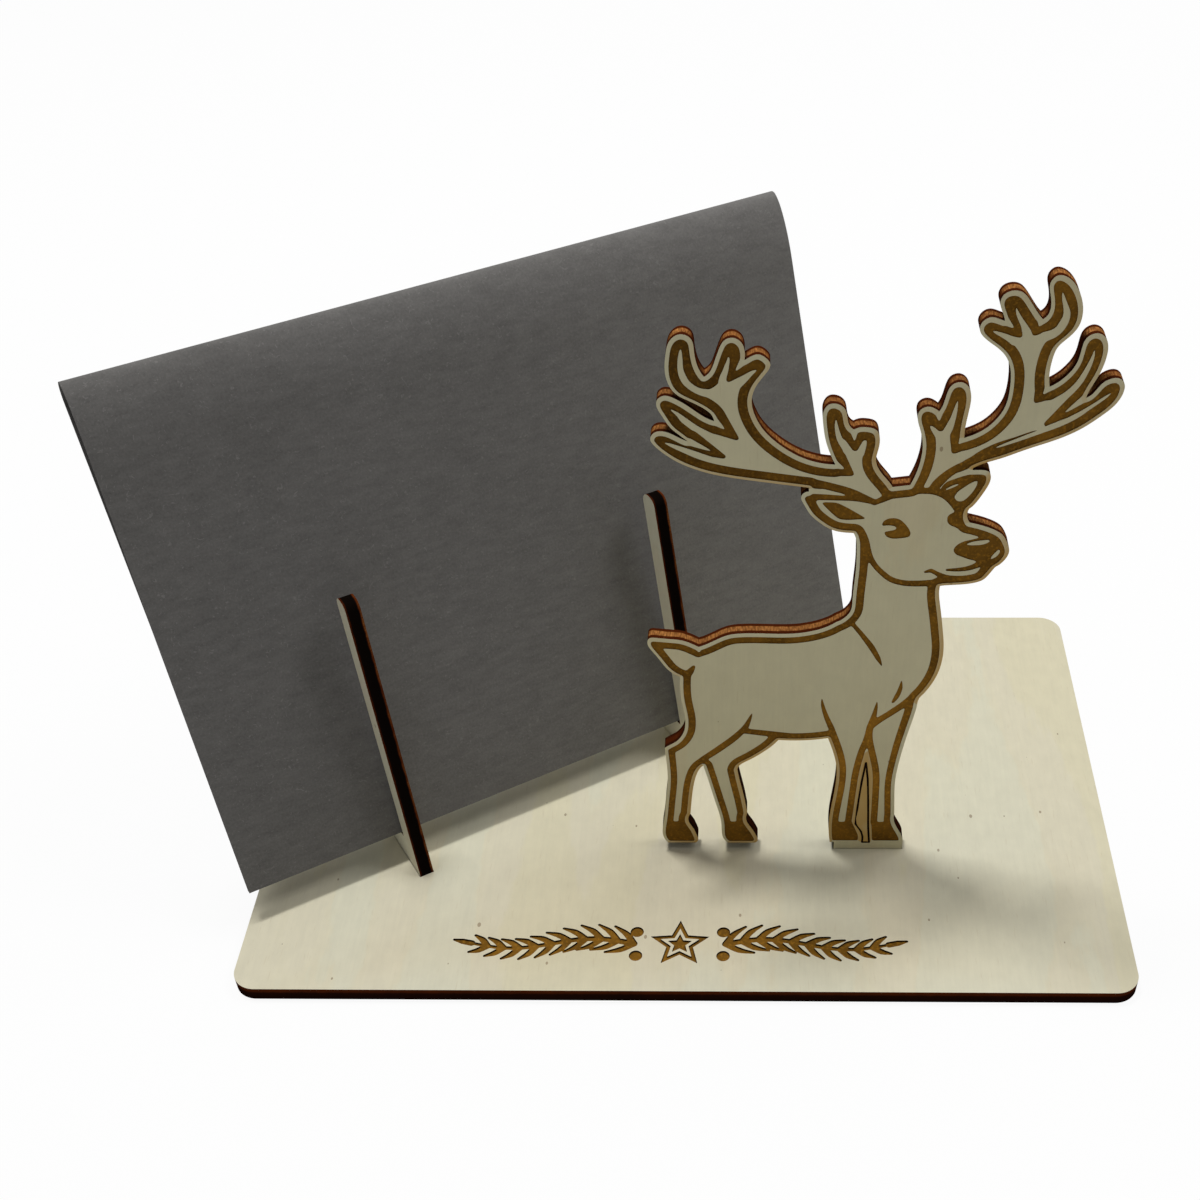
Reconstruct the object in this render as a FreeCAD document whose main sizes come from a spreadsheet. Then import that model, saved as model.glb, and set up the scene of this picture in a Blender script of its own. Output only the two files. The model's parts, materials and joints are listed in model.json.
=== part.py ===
import FreeCAD, Part
import math
import os
import Sketcher

# Gift card holder: a plywood plate with a standing reindeer and two forked stays that carry a folded card.
# The origin is the centre of the plate's underside, +Y runs from its front edge to its back, +Z is up.

# Driving sizes: millimetres, and degrees for the three angles.
SIZES = {
    # every plywood piece is cut from one sheet
    "ply": 3.0,
    "kerf": 0.3,
    "slot_clearance": 0.1,
    "overrun": 1.0,
    # plate
    "plate_length": 180.0,
    "plate_depth": 120.0,
    "plate_corner": 5.0,
    # reindeer: box of its outline over the plate, and where that box and its tab stand
    "figure_length": 82.0,
    "figure_height": 130.0,
    "figure_left": 83.5,
    "figure_setback": 39.25,
    "tab_length": 14.65,
    # stays: place of the left one, its fork, and the step to the right one
    "stay_side": 29.5,
    "stay_setback": 36.9,
    "stay_spacing": 67.5,
    "prong_width": 5.0,
    "prong_height": 62.0,
    "prong_lean": 13.0,
    "prong_round": 2.0,
    "ledge_height": 6.5,
    # card: a sheet folded once, with its fold at the top
    "card_length": 148.0,
    "card_height": 105.0,
    "card_paper": 0.3,
    "card_pinch": 1.2,
    "card_fold": 4.0,
    "card_overhang": 33.35,
    "card_yaw": 32.0,
    "card_lean": 18.0,
    "card_play": 1.0,
    "seat_gap": 0.1,
}

# Outline of the reindeer, from the root of the tail round over the head to the rump, one smooth stretch at a
# time. Each point is a share of the figure's length and of its height over the plate.
FIGURE_SHARES = {
    "tail": (
        (0.061, 0.371), (0.046, 0.380), (0.028, 0.398), (0.010, 0.416), (0.001, 0.431), (0.006, 0.439),
        (0.021, 0.440), (0.048, 0.438), (0.082, 0.435), (0.104, 0.429), (0.120, 0.423)),
    "back": (
        (0.160, 0.436), (0.189, 0.445), (0.220, 0.448), (0.274, 0.448), (0.341, 0.448), (0.379, 0.452),
        (0.411, 0.459), (0.437, 0.469)),
    "nape": (
        (0.457, 0.478), (0.468, 0.489), (0.471, 0.508), (0.473, 0.538), (0.475, 0.569), (0.474, 0.596),
        (0.471, 0.614), (0.465, 0.623)),
    "left_ear": (
        (0.444, 0.624), (0.423, 0.627), (0.387, 0.642), (0.370, 0.653), (0.355, 0.670), (0.349, 0.682),
        (0.355, 0.688), (0.365, 0.690)),
    "left_ear_notch": ((0.365, 0.696),),
    "left_beam": (
        (0.322, 0.700), (0.238, 0.708), (0.157, 0.718), (0.120, 0.726), (0.085, 0.737), (0.057, 0.750),
        (0.038, 0.762), (0.031, 0.771), (0.040, 0.781), (0.057, 0.783), (0.087, 0.775), (0.109, 0.768)),
    "left_second_tine": (
        (0.089, 0.779), (0.073, 0.789), (0.059, 0.804), (0.048, 0.818), (0.048, 0.828), (0.062, 0.835),
        (0.082, 0.832), (0.120, 0.816), (0.165, 0.798)),
    "left_third_tine": (
        (0.160, 0.807), (0.145, 0.816), (0.109, 0.829), (0.087, 0.838), (0.073, 0.852), (0.067, 0.872),
        (0.070, 0.894), (0.080, 0.913), (0.101, 0.921), (0.121, 0.915), (0.127, 0.900), (0.130, 0.885),
        (0.138, 0.870), (0.146, 0.862)),
    "left_fourth_tine": (
        (0.157, 0.868), (0.167, 0.882), (0.178, 0.902), (0.189, 0.913), (0.204, 0.916), (0.221, 0.910),
        (0.228, 0.899), (0.228, 0.885)),
    "left_inner_tine": (
        (0.240, 0.890), (0.255, 0.893), (0.271, 0.888), (0.280, 0.879), (0.273, 0.868), (0.255, 0.852),
        (0.245, 0.838), (0.243, 0.822), (0.250, 0.805), (0.267, 0.785), (0.302, 0.762), (0.348, 0.743),
        (0.384, 0.735), (0.419, 0.732)),
    "left_outer_brow_tine": (
        (0.407, 0.749), (0.396, 0.771), (0.390, 0.795), (0.391, 0.813), (0.402, 0.822), (0.420, 0.822),
        (0.434, 0.815), (0.440, 0.802), (0.445, 0.791), (0.455, 0.785)),
    "left_inner_brow_tine": (
        (0.466, 0.788), (0.484, 0.788), (0.501, 0.784), (0.509, 0.772), (0.507, 0.753), (0.504, 0.740),
        (0.512, 0.724), (0.527, 0.711), (0.543, 0.697)),
    "crown": ((0.580, 0.700),),
    "right_inner_brow_tine": (
        (0.590, 0.717), (0.598, 0.740), (0.599, 0.763), (0.590, 0.787), (0.584, 0.802), (0.587, 0.812),
        (0.602, 0.818), (0.616, 0.816), (0.627, 0.811)),
    "right_outer_brow_tine": (
        (0.634, 0.821), (0.640, 0.838), (0.650, 0.850), (0.666, 0.853), (0.680, 0.848), (0.688, 0.837),
        (0.688, 0.813), (0.684, 0.789), (0.684, 0.772)),
    "right_inner_tine": (
        (0.700, 0.776), (0.722, 0.784), (0.744, 0.798), (0.759, 0.815), (0.765, 0.835), (0.765, 0.855),
        (0.760, 0.875), (0.748, 0.890), (0.724, 0.904), (0.702, 0.915), (0.692, 0.925), (0.696, 0.936),
        (0.712, 0.942), (0.727, 0.940), (0.739, 0.937)),
    "right_fourth_tine": (
        (0.733, 0.948), (0.726, 0.963), (0.732, 0.972), (0.749, 0.977), (0.766, 0.975), (0.782, 0.965),
        (0.801, 0.948), (0.813, 0.939)),
    "right_third_tine": (
        (0.823, 0.947), (0.825, 0.958), (0.820, 0.974), (0.818, 0.987), (0.830, 0.996), (0.849, 0.994),
        (0.867, 0.984), (0.882, 0.967), (0.889, 0.946), (0.884, 0.928), (0.868, 0.914), (0.850, 0.901),
        (0.843, 0.885), (0.841, 0.866), (0.845, 0.846)),
    "right_second_tine": (
        (0.860, 0.852), (0.879, 0.864), (0.893, 0.880), (0.898, 0.900), (0.905, 0.914), (0.923, 0.920),
        (0.940, 0.915), (0.949, 0.903), (0.949, 0.884), (0.941, 0.863), (0.930, 0.846), (0.922, 0.830)),
    "right_beam": (
        (0.937, 0.838), (0.951, 0.851), (0.966, 0.857), (0.980, 0.858), (0.994, 0.851), (0.996, 0.838),
        (0.985, 0.821), (0.960, 0.804), (0.923, 0.785), (0.872, 0.768), (0.811, 0.753), (0.762, 0.740),
        (0.730, 0.733), (0.709, 0.726)),
    "right_ear_notch": ((0.709, 0.723),),
    "right_ear": (
        (0.729, 0.723), (0.744, 0.720), (0.749, 0.712), (0.745, 0.698), (0.733, 0.682), (0.721, 0.669),
        (0.711, 0.662)),
    "brow": ((0.708, 0.654), (0.715, 0.640)),
    "nose": (
        (0.738, 0.636), (0.767, 0.629), (0.789, 0.620), (0.802, 0.607), (0.809, 0.592), (0.802, 0.578),
        (0.784, 0.566)),
    "chin": ((0.773, 0.555), (0.760, 0.544), (0.738, 0.538), (0.701, 0.535), (0.665, 0.533)),
    "throat": (
        (0.665, 0.519), (0.671, 0.496), (0.679, 0.465), (0.687, 0.431), (0.688, 0.400), (0.680, 0.371),
        (0.663, 0.345), (0.643, 0.325)),
    "front_shin": (
        (0.632, 0.281), (0.620, 0.242), (0.609, 0.196), (0.603, 0.154), (0.605, 0.115), (0.608, 0.078)),
    "front_toe": ((0.610, 0.062), (0.621, 0.045), (0.632, 0.030), (0.636, 0.015)),
    "front_sole": ((0.447, 0.015),),
    "front_heel": (
        (0.443, 0.038), (0.443, 0.073), (0.449, 0.112), (0.455, 0.154), (0.454, 0.185), (0.446, 0.211),
        (0.430, 0.244)),
    "belly": ((0.401, 0.241), (0.354, 0.239), (0.309, 0.240)),
    "stifle": ((0.291, 0.226), (0.267, 0.212), (0.233, 0.196), (0.213, 0.186), (0.208, 0.178)),
    "near_shin": ((0.215, 0.150), (0.226, 0.112), (0.232, 0.080)),
    "near_toe": ((0.234, 0.058), (0.245, 0.045), (0.255, 0.031), (0.259, 0.018), (0.252, 0.013)),
    "near_sole": ((0.182, 0.013),),
    "near_heel": ((0.173, 0.020), (0.166, 0.054), (0.152, 0.104), (0.135, 0.154), (0.123, 0.186)),
    "far_shin": ((0.115, 0.180), (0.105, 0.165), (0.096, 0.137), (0.089, 0.095), (0.087, 0.080)),
    "far_toe": ((0.084, 0.058), (0.094, 0.045), (0.101, 0.031), (0.104, 0.018), (0.098, 0.013)),
    "far_sole": ((0.026, 0.013),),
    "far_heel": (
        (0.018, 0.021), (0.018, 0.065), (0.026, 0.112), (0.033, 0.158), (0.032, 0.192), (0.029, 0.223)),
    "rump": (
        (0.044, 0.230), (0.059, 0.237), (0.071, 0.247), (0.079, 0.259), (0.082, 0.272), (0.082, 0.286),
        (0.079, 0.302), (0.075, 0.319), (0.073, 0.338), (0.074, 0.366)),
}

# Middle line of the closed cut between the front legs, in the same shares.
LEG_CUT_SHARES = (
    (0.527, 0.192), (0.520, 0.154), (0.513, 0.092), (0.511, 0.057), (0.526, 0.040), (0.531, 0.028),
    (0.531, 0.015), (0.549, 0.015), (0.544, 0.050), (0.540, 0.100), (0.534, 0.158))

# Places of the fork's corners, back from the line where the card's front face meets its lower edge.
PRONG_RUN = "Sizes.prong_height * tan(Sizes.prong_lean)"
LEDGE_RUN = "Sizes.ledge_height * tan(Sizes.prong_lean)"
FRONT_FOOT = f"(-Sizes.card_play - Sizes.prong_width - {LEDGE_RUN})"
CARD_RISE = "(Sizes.ledge_height + Sizes.seat_gap + Sizes.card_pinch * sin(Sizes.card_lean))"
CARD_BACK = (f"(Sizes.card_pinch / cos(Sizes.card_lean)"
             f" + (Sizes.prong_height - {CARD_RISE}) * tan(Sizes.card_lean))")
REAR_TOP = f"({CARD_BACK} + Sizes.seat_gap)"
REAR_FOOT = f"({REAR_TOP} + Sizes.prong_width - {PRONG_RUN})"

doc = FreeCAD.newDocument("gift_card_holder")
sheet = doc.addObject("Spreadsheet::Sheet", "Sizes")
for row, (alias, value) in enumerate(SIZES.items(), start=1):
    sheet.set(f"A{row}", alias)
    sheet.set(f"B{row}", str(value))
    sheet.setAlias(f"B{row}", alias)
doc.recompute()


def size(alias):
    """The sheet's present value of one size."""
    return float(sheet.get(alias))


def origin_plane(body, role):
    """One of a body's own origin planes."""
    return next(plane for plane in body.Origin.OriginFeatures if plane.Role == role)


def new_sketch(body, name, role):
    """An empty sketch on one of the body's origin planes."""
    sketch = body.newObject("Sketcher::SketchObject", name)
    sketch.AttachmentSupport = (origin_plane(body, role), [""])
    sketch.MapMode = "FlatFace"
    return sketch


def pin(sketch, line, end, place):
    """Hold one end of a line at a place, given as two formulas."""
    for kind, formula in zip(("DistanceX", "DistanceY"), place):
        value = float(sheet.evalExpression(formula))
        index = sketch.addConstraint(Sketcher.Constraint(kind, -1, 1, line, end, value))
        sketch.setExpression(f"Constraints[{index}]", formula)


def corner_outline(sketch, corners):
    """A closed run of straight lines whose corners are formulas in the sheet's sizes."""
    spots = [FreeCAD.Vector(*(float(sheet.evalExpression(part)) for part in corner)) for corner in corners]
    for here, there in zip(spots, spots[1:] + spots[:1]):
        sketch.addGeometry(Part.LineSegment(here, there), False)
    for line, corner in enumerate(corners):
        after = (line + 1) % len(corners)
        sketch.addConstraint(Sketcher.Constraint("Coincident", line, 2, after, 1))
        pin(sketch, line, 1, corner)


def pad(body, sketch, length):
    """The sketch made solid, as long as a formula says."""
    feature = body.newObject("PartDesign::Pad", sketch.Name + "_pad")
    feature.Profile = sketch
    feature.setExpression("Length", length)
    doc.recompute()
    return feature


def round_edges(body, feature, chosen, radius):
    """Fillet on the edges of a feature that a test picks."""
    names = [f"Edge{at}" for at, edge in enumerate(feature.Shape.Edges, start=1) if chosen(edge)]
    fillet = body.newObject("PartDesign::Fillet", body.Name + "_rounds")
    fillet.Base = (feature, names)
    fillet.setExpression("Radius", radius)
    doc.recompute()


def runs_along(edge, axis):
    """Whether a straight edge runs along an axis."""
    return edge.Curve.TypeId == "Part::GeomLine" and abs(edge.Curve.Direction.dot(axis)) > 1 - 1e-6


def card_frame(along, height):
    """Placement on the line of the card's front face: +X leads back from it, -Y runs along it to the right."""
    side = f"Sizes.stay_side - Sizes.plate_length / 2 + ({along}) * cos(Sizes.card_yaw)"
    setback = f"Sizes.stay_setback - Sizes.plate_depth / 2 + ({along}) * sin(Sizes.card_yaw)"
    return f"vector({side}; {setback}; {height})"


def figure_spot(length_share, height_share):
    """A point of the figure's front face, with its origin on the plate below the tip of the tail."""
    return FreeCAD.Vector(length_share * size("figure_length"), 0, height_share * size("figure_height"))


def smooth_edge(spots):
    """A straight edge through two points, or a smooth curve through more."""
    if len(spots) == 2:
        return Part.makeLine(*spots)
    curve = Part.BSplineCurve()
    curve.interpolate(spots)
    return curve.toShape()


def tab_spots(toe):
    """Corners of the tab under the front hooves, which goes down to the plate's underside."""
    heel = toe - FreeCAD.Vector(size("tab_length"), 0, 0)
    foot = FreeCAD.Vector(0, 0, -size("ply"))
    return [FreeCAD.Vector(toe.x, 0, 0) + foot, FreeCAD.Vector(heel.x, 0, 0) + foot, heel]


def figure_wire():
    """The reindeer's outline with its tab."""
    here = figure_spot(*FIGURE_SHARES["rump"][-1])
    edges = []
    for stretch, shares in FIGURE_SHARES.items():
        if stretch == "front_sole":
            for corner in tab_spots(here):
                edges.append(smooth_edge([here, corner]))
                here = corner
        spots = [here] + [figure_spot(*share) for share in shares]
        edges.append(smooth_edge(spots))
        here = spots[-1]
    return Part.Wire(edges)


def leg_cut_wire(step):
    """The closed cut between the front legs, its middle line moved outwards by a step."""
    spots = [figure_spot(*share) for share in LEG_CUT_SHARES]
    return Part.makePolygon(spots + spots[:1]).makeOffset2D(step)


def cut_sheet(label, wires):
    """A plywood piece with an outline and holes, standing where the reindeer stands."""
    face = doc.addObject("Part::Feature", label + "_outline")
    face.Shape = Part.makeFace(wires, "Part::FaceMakerBullseye")
    piece = doc.addObject("Part::Extrusion", label)
    piece.Base = face
    piece.DirMode = "Custom"
    piece.Dir = FreeCAD.Vector(0, 1, 0)
    piece.Solid = True
    piece.setExpression("LengthFwd", "Sizes.ply")
    side = "Sizes.figure_left - Sizes.plate_length / 2"
    setback = "Sizes.figure_setback - Sizes.plate_depth / 2"
    piece.setExpression("Placement", f"placement(vector({side}; {setback}; Sizes.ply); rotation(0; 0; 0))")
    return piece


def slot(name, length, placement):
    """A tool that cuts one slot through the plate."""
    box = doc.addObject("Part::Box", name)
    box.setExpression("Length", f"{length} + 2 * Sizes.slot_clearance")
    box.setExpression("Width", "Sizes.ply + 2 * Sizes.slot_clearance")
    box.setExpression("Height", "Sizes.ply + 2 * Sizes.overrun")
    box.setExpression("Placement", placement)
    return box


def base_plate():
    """The plate with rounded corners and a slot for the tab and for each stay's foot."""
    body = doc.addObject("PartDesign::Body", "plate_blank")
    sketch = new_sketch(body, "plate_outline", "XY_Plane")
    right, back = "Sizes.plate_length / 2", "Sizes.plate_depth / 2"
    left, front = f"-{right}", f"-{back}"
    corner_outline(sketch, ((left, front), (right, front), (right, back), (left, back)))
    blank = pad(body, sketch, "Sizes.ply")
    up = FreeCAD.Vector(0, 0, 1)
    round_edges(body, blank, lambda edge: runs_along(edge, up), "Sizes.plate_corner")
    toe_share = FIGURE_SHARES["front_toe"][-1][0]
    tab_left = (f"Sizes.figure_left - Sizes.plate_length / 2 + {toe_share} * Sizes.figure_length"
                " - Sizes.tab_length - Sizes.slot_clearance")
    tab_front = "Sizes.figure_setback - Sizes.plate_depth / 2 - Sizes.slot_clearance"
    tab_place = f"placement(vector({tab_left}; {tab_front}; -Sizes.overrun); rotation(0; 0; 0))"
    tools = [slot("tab_slot", "Sizes.tab_length", tab_place)]
    corner = f"vector({FRONT_FOOT} - Sizes.slot_clearance; -Sizes.ply - Sizes.slot_clearance; -Sizes.overrun)"
    for name, along in (("left", "0"), ("right", "Sizes.stay_spacing")):
        frame = f"placement({card_frame(along, '0')}; rotation(90 + Sizes.card_yaw; 0; 0))"
        place = f"{frame} * placement({corner}; rotation(0; 0; 0))"
        tools.append(slot(f"{name}_stay_slot", f"{REAR_FOOT} - {FRONT_FOOT}", place))
    slots = doc.addObject("Part::MultiFuse", "slots")
    slots.Shapes = tools
    plate = doc.addObject("Part::Cut", "base_plate")
    plate.Base = body
    plate.Tool = slots
    return plate


def card_stay(label, along):
    """A fork whose foot stands in the plate and whose two prongs hold the card between them."""
    body = doc.addObject("PartDesign::Body", label)
    sketch = new_sketch(body, label + "_outline", "XZ_Plane")
    top, ledge, sole = "Sizes.prong_height", "Sizes.ledge_height", "-Sizes.ply"
    corner_outline(sketch, (
        (FRONT_FOOT, sole), (FRONT_FOOT, "0"), (f"{FRONT_FOOT} + {PRONG_RUN}", top),
        (f"{FRONT_FOOT} + {PRONG_RUN} + Sizes.prong_width", top), ("-Sizes.card_play", ledge),
        (f"{REAR_TOP} - {PRONG_RUN} + {LEDGE_RUN}", ledge), (REAR_TOP, top),
        (f"{REAR_TOP} + Sizes.prong_width", top), (REAR_FOOT, "0"), (REAR_FOOT, sole)))
    fork = pad(body, sketch, "Sizes.ply")
    thickness = FreeCAD.Vector(0, 1, 0)
    half_height = size("prong_height") / 2
    round_edges(body, fork, lambda edge: runs_along(edge, thickness) and edge.CenterOfMass.z > half_height
                and edge.CenterOfMass.z > size("ledge_height"), "Sizes.prong_round")
    place = f"placement({card_frame(along, 'Sizes.ply')}; rotation(90 + Sizes.card_yaw; 0; 0))"
    body.setExpression("Placement", place)
    return body


def fold_profile(sketch, pinch_top):
    """One sheet seen from its end: front leaf, round fold, back leaf drawn in to the pinch, and their inner side."""
    paper, pinch, fold = size("card_paper"), size("card_pinch"), size("card_fold")
    centre = FreeCAD.Vector(fold, size("card_height") - fold, 0)
    waist = FreeCAD.Vector(pinch, float(sheet.evalExpression(pinch_top)), 0)
    reach = centre - waist
    slope = math.atan2(reach.x, reach.y) + math.asin(fold / reach.Length)
    outward = FreeCAD.Vector(math.cos(slope), -math.sin(slope), 0)
    end, inner_end = centre + outward * fold, centre + outward * (fold - paper)
    drop = (inner_end.x - pinch + paper) / math.sin(slope)
    inner_waist = inner_end - FreeCAD.Vector(math.sin(slope), math.cos(slope), 0) * drop
    top = FreeCAD.Vector(0, 0, 1)

    def line(start, stop):
        sketch.addGeometry(Part.LineSegment(FreeCAD.Vector(*start), FreeCAD.Vector(*stop)), False)

    def arc(radius):
        circle = Part.Circle(centre, top, radius)
        sketch.addGeometry(Part.ArcOfCircle(circle, -slope, math.pi), False)

    line((0, 0), (0, centre.y))
    arc(fold)
    line(end, waist)
    line(waist, (pinch, 0))
    line((pinch, 0), (pinch - paper, 0))
    line((pinch - paper, 0), inner_waist)
    line(inner_waist, inner_end)
    arc(fold - paper)
    line((paper, centre.y), (paper, 0))
    line((paper, 0), (0, 0))


def card_constraints(sketch, pinch_top):
    """Tie the folded sheet's lines and arcs to each other and to the sheet's sizes."""
    front, fold, back, tail, tail_end, inner_tail, inner_back, inner_fold, inner_front, front_end = range(10)
    start, stop, middle = 1, 2, 3
    ties = [("Tangent", front, stop, fold, stop), ("Tangent", fold, start, back, start),
            ("Tangent", inner_back, stop, inner_fold, start), ("Tangent", inner_fold, stop, inner_front, start),
            ("Coincident", back, stop, tail, start), ("Coincident", tail, stop, tail_end, start),
            ("Coincident", tail_end, stop, inner_tail, start), ("Coincident", inner_tail, stop, inner_back, start),
            ("Coincident", inner_front, stop, front_end, start), ("Coincident", front_end, stop, front, start),
            ("Coincident", fold, middle, inner_fold, middle), ("Coincident", front, start, -1, 1),
            ("Vertical", front), ("Vertical", tail), ("Vertical", inner_tail), ("Vertical", inner_front),
            ("Horizontal", tail_end), ("Horizontal", front_end), ("PointOnObject", tail, stop, -1),
            ("Parallel", back, inner_back)]
    for tie in ties:
        sketch.addConstraint(Sketcher.Constraint(*tie))
    sizes = [(("Radius", fold), "Sizes.card_fold"),
             (("Radius", inner_fold), "Sizes.card_fold - Sizes.card_paper"),
             (("DistanceY", -1, 1, front, stop), "Sizes.card_height - Sizes.card_fold"),
             (("DistanceX", -1, 1, inner_tail, start), "Sizes.card_pinch - Sizes.card_paper")]
    for kind, formula in sizes:
        value = float(sheet.evalExpression(formula))
        index = sketch.addConstraint(Sketcher.Constraint(*kind, value))
        sketch.setExpression(f"Constraints[{index}]", formula)
    pin(sketch, tail, start, ("Sizes.card_pinch", pinch_top))


def gift_card():
    """A sheet bent over softly at the top, with its leaves drawn together between the prongs."""
    body = doc.addObject("PartDesign::Body", "gift_card")
    sketch = new_sketch(body, "card_profile", "XZ_Plane")
    pinch_top = "(Sizes.prong_height - Sizes.ledge_height) / cos(Sizes.card_lean)"
    fold_profile(sketch, pinch_top)
    card_constraints(sketch, pinch_top)
    pad(body, sketch, "Sizes.card_length")
    spot = card_frame("-Sizes.card_overhang", f"Sizes.ply + {CARD_RISE}")
    body.setExpression("Placement", f"placement({spot}; rotation(90 + Sizes.card_yaw; Sizes.card_lean; 0))")
    return body


def check(piece):
    """Stop if a piece did not come out as one sound solid."""
    shape = piece.Shape
    if shape.isNull() or not shape.isValid() or len(shape.Solids) != 1:
        raise RuntimeError(f"{piece.Label} is not one valid solid")


half_kerf = size("kerf") / 2
pieces = [
    base_plate(),
    cut_sheet("reindeer", [figure_wire(), leg_cut_wire(half_kerf)]),
    cut_sheet("front_leg_offcut", [leg_cut_wire(-half_kerf)]),
    card_stay("left_card_stay", "0"),
    card_stay("right_card_stay", "Sizes.stay_spacing"),
    gift_card(),
]
doc.recompute()

for item in doc.Objects:
    if "Invalid" in item.State or "Error" in item.State:
        raise RuntimeError(f"{item.Label} failed to recompute")
for piece in pieces:
    check(piece)

os.makedirs("parts", exist_ok=True)
for piece in pieces:
    piece.Shape.exportStep(f"parts/{piece.Label}.step")
    box = piece.Shape.BoundBox
    print(f"{piece.Label}: {box.XLength:.2f} x {box.YLength:.2f} x {box.ZLength:.2f} mm, "
          f"volume {piece.Shape.Volume:.1f} mm3")
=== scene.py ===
import json
import math
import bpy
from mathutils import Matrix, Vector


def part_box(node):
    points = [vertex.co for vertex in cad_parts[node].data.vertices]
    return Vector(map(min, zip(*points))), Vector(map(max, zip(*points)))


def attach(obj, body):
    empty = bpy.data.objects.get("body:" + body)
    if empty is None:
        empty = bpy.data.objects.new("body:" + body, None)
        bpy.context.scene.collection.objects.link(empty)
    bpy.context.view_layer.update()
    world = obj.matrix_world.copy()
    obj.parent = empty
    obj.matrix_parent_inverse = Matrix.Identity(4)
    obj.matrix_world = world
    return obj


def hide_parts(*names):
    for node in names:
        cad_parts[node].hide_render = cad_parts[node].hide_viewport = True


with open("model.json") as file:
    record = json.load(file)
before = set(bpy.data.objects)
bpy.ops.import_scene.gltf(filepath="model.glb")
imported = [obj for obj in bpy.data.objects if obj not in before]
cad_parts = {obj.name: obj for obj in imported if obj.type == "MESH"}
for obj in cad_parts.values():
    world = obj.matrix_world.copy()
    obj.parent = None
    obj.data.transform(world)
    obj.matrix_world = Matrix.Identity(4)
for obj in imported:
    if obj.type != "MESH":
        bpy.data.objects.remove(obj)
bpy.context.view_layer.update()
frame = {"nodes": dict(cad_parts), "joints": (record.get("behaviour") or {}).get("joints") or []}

from copy import copy
from functools import partial

import bpy
import numpy as np
from bpy.props import FloatProperty, FloatVectorProperty, PointerProperty
from mathutils import Matrix, Vector
from mathutils.geometry import delaunay_2d_cdt

bl_info = {
    "name": "Gift Card Holder",
    "version": (1, 0, 0),
    "blender": (4, 5, 0),
    "location": "3D View > Sidebar > Card Holder",
    "description": "Dresses a plywood gift card holder with a reindeer, forked stays and a folded card",
    "category": "Object",
}

MM = 0.001

# Height of the plate's top in millimetres.
PLATE_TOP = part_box("base_plate")[1].z / MM

# Finishes of a plywood piece, in the order of its material slots.
BARE, ENGRAVED, BURNT = range(3)

# Depths of a plywood piece's vertices: its face, the floor of the engraving, its back.
FACE, FLOOR, BACK = range(3)

# How bright a cut edge is through its plies, from the face to the back: place, and share from soot
# over umber at a half to copper at one.
REINDEER_PLIES = ((0.0, 0.4), (0.26, 0.42), (0.31, 1.0), (0.72, 1.0), (0.77, 0.5), (1.0, 0.42))
STAY_PLIES = ((0.0, 0.5), (0.08, 0.4), (0.14, 0.01), (0.82, 0.0), (0.9, 0.66), (1.0, 0.66))
PLATE_PLIES = ((0.0, 0.56), (0.25, 0.46), (0.4, 0.1), (1.0, 0.05))
# The cut between the legs is near black through all its plies: char, and painted shade for the narrow gap.
KERF_SHADED_PLIES = ((0.0, 0.04), (1.0, 0.02))

# How sooty the engraving's rims are.
PLATE_SOOT = 0.9
REINDEER_SOOT = 0.08
STAY_SOOT = 0.5

# Width in metres that an edge's thickness takes up in its pattern of ticks and smoke.
PLY_SPREAD = 0.0006

# Colours of the veneer's pores and flecks, and of the hairs in the paper.
PORE = (0.42, 0.33, 0.19)
FLECK = (0.16, 0.10, 0.05)
HAIR = (0.30, 0.29, 0.28)

# Stretch in which most values of a noise lie.
MIDDLE = (0.3, 0.7)

# Cosines over which a face counts as turned towards a way, and as flat.
FACING = 0.7
FLAT = 0.999

# Degrees over which a turn of a rim, a drawn line, the plywood and the paper stays a sharp corner.
RIM_CORNER = 32.0
LINE_CORNER = 50.0
PLYWOOD_CREASE = 32.0
PAPER_CREASE = 40.0

# Steps between two points of a rim and of a drawn line, and how many times longer than its neighbour a
# stretch has to be to stay straight.
RIM_STEPS = 3
LINE_STEPS = 6
STRAIGHT_SHARE = 4

# Steps in millimetres of the grids for pieces without engraving, and for the thin cut, and the margin round
# every grid.
PLAIN_CELL = 0.1
KERF_CELL = 0.03
GRID_MARGIN = 1.0

# Least length to divide by, and distance at which two corners of a mesh become one.
TINY = 1e-9
MERGE = 1e-6

# How far off a straight run a point is still left out, in millimetres: at an engraved edge, and inside it.
EDGE_SLACK = 0.012
RING_SLACK = 0.02

# Rounds of softening for the reindeer's engraving, and points of a line that is too short to keep.
SOFTENING = 13
SPECK_POINTS = 6

# Depths in millimetres between which a dark plug closes the cut between the reindeer's front legs: char,
# and painted shade for the narrow gap.
KERF_CHAR_AND_SHADE = (0.12, 2.88)

# How much further than its cut the laser burnt away the wood on both sides of it, in millimetres.
KERF_BURN = 0.08

# Way on the reindeer's face to which the smoke drew while it was cut, along x and z.
SMOKE = (0.75, -0.66)

# Heights over the plate between which the engraved outline widens, from legs to body and to antlers.
LINE_HEIGHTS = (22.0, 36.0, 84.0, 94.0)

# How bright the reindeer's engraving came out at some places of its face: x, z over the plate, share.
ENGRAVING_TONES = (
    (2.0, 110.0, 0.6), (4.0, 98.0, 0.62), (18.0, 95.0, 0.72), (31.0, 97.0, 0.9), (62.0, 115.0, 0.95),
    (60.0, 99.0, 1.0), (46.0, 100.0, 1.0), (42.0, 81.0, 1.05), (49.0, 58.0, 1.0), (33.0, 66.0, 1.0),
    (12.0, 56.0, 0.86), (2.0, 42.0, 0.92), (20.0, 33.0, 0.92), (5.0, 17.0, 1.25), (5.0, 4.0, 0.85),
    (36.5, 28.0, 1.5), (33.0, 15.0, 1.6), (40.0, 15.0, 1.6), (33.0, 5.0, 0.95), (42.0, 5.0, 0.9))
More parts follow.
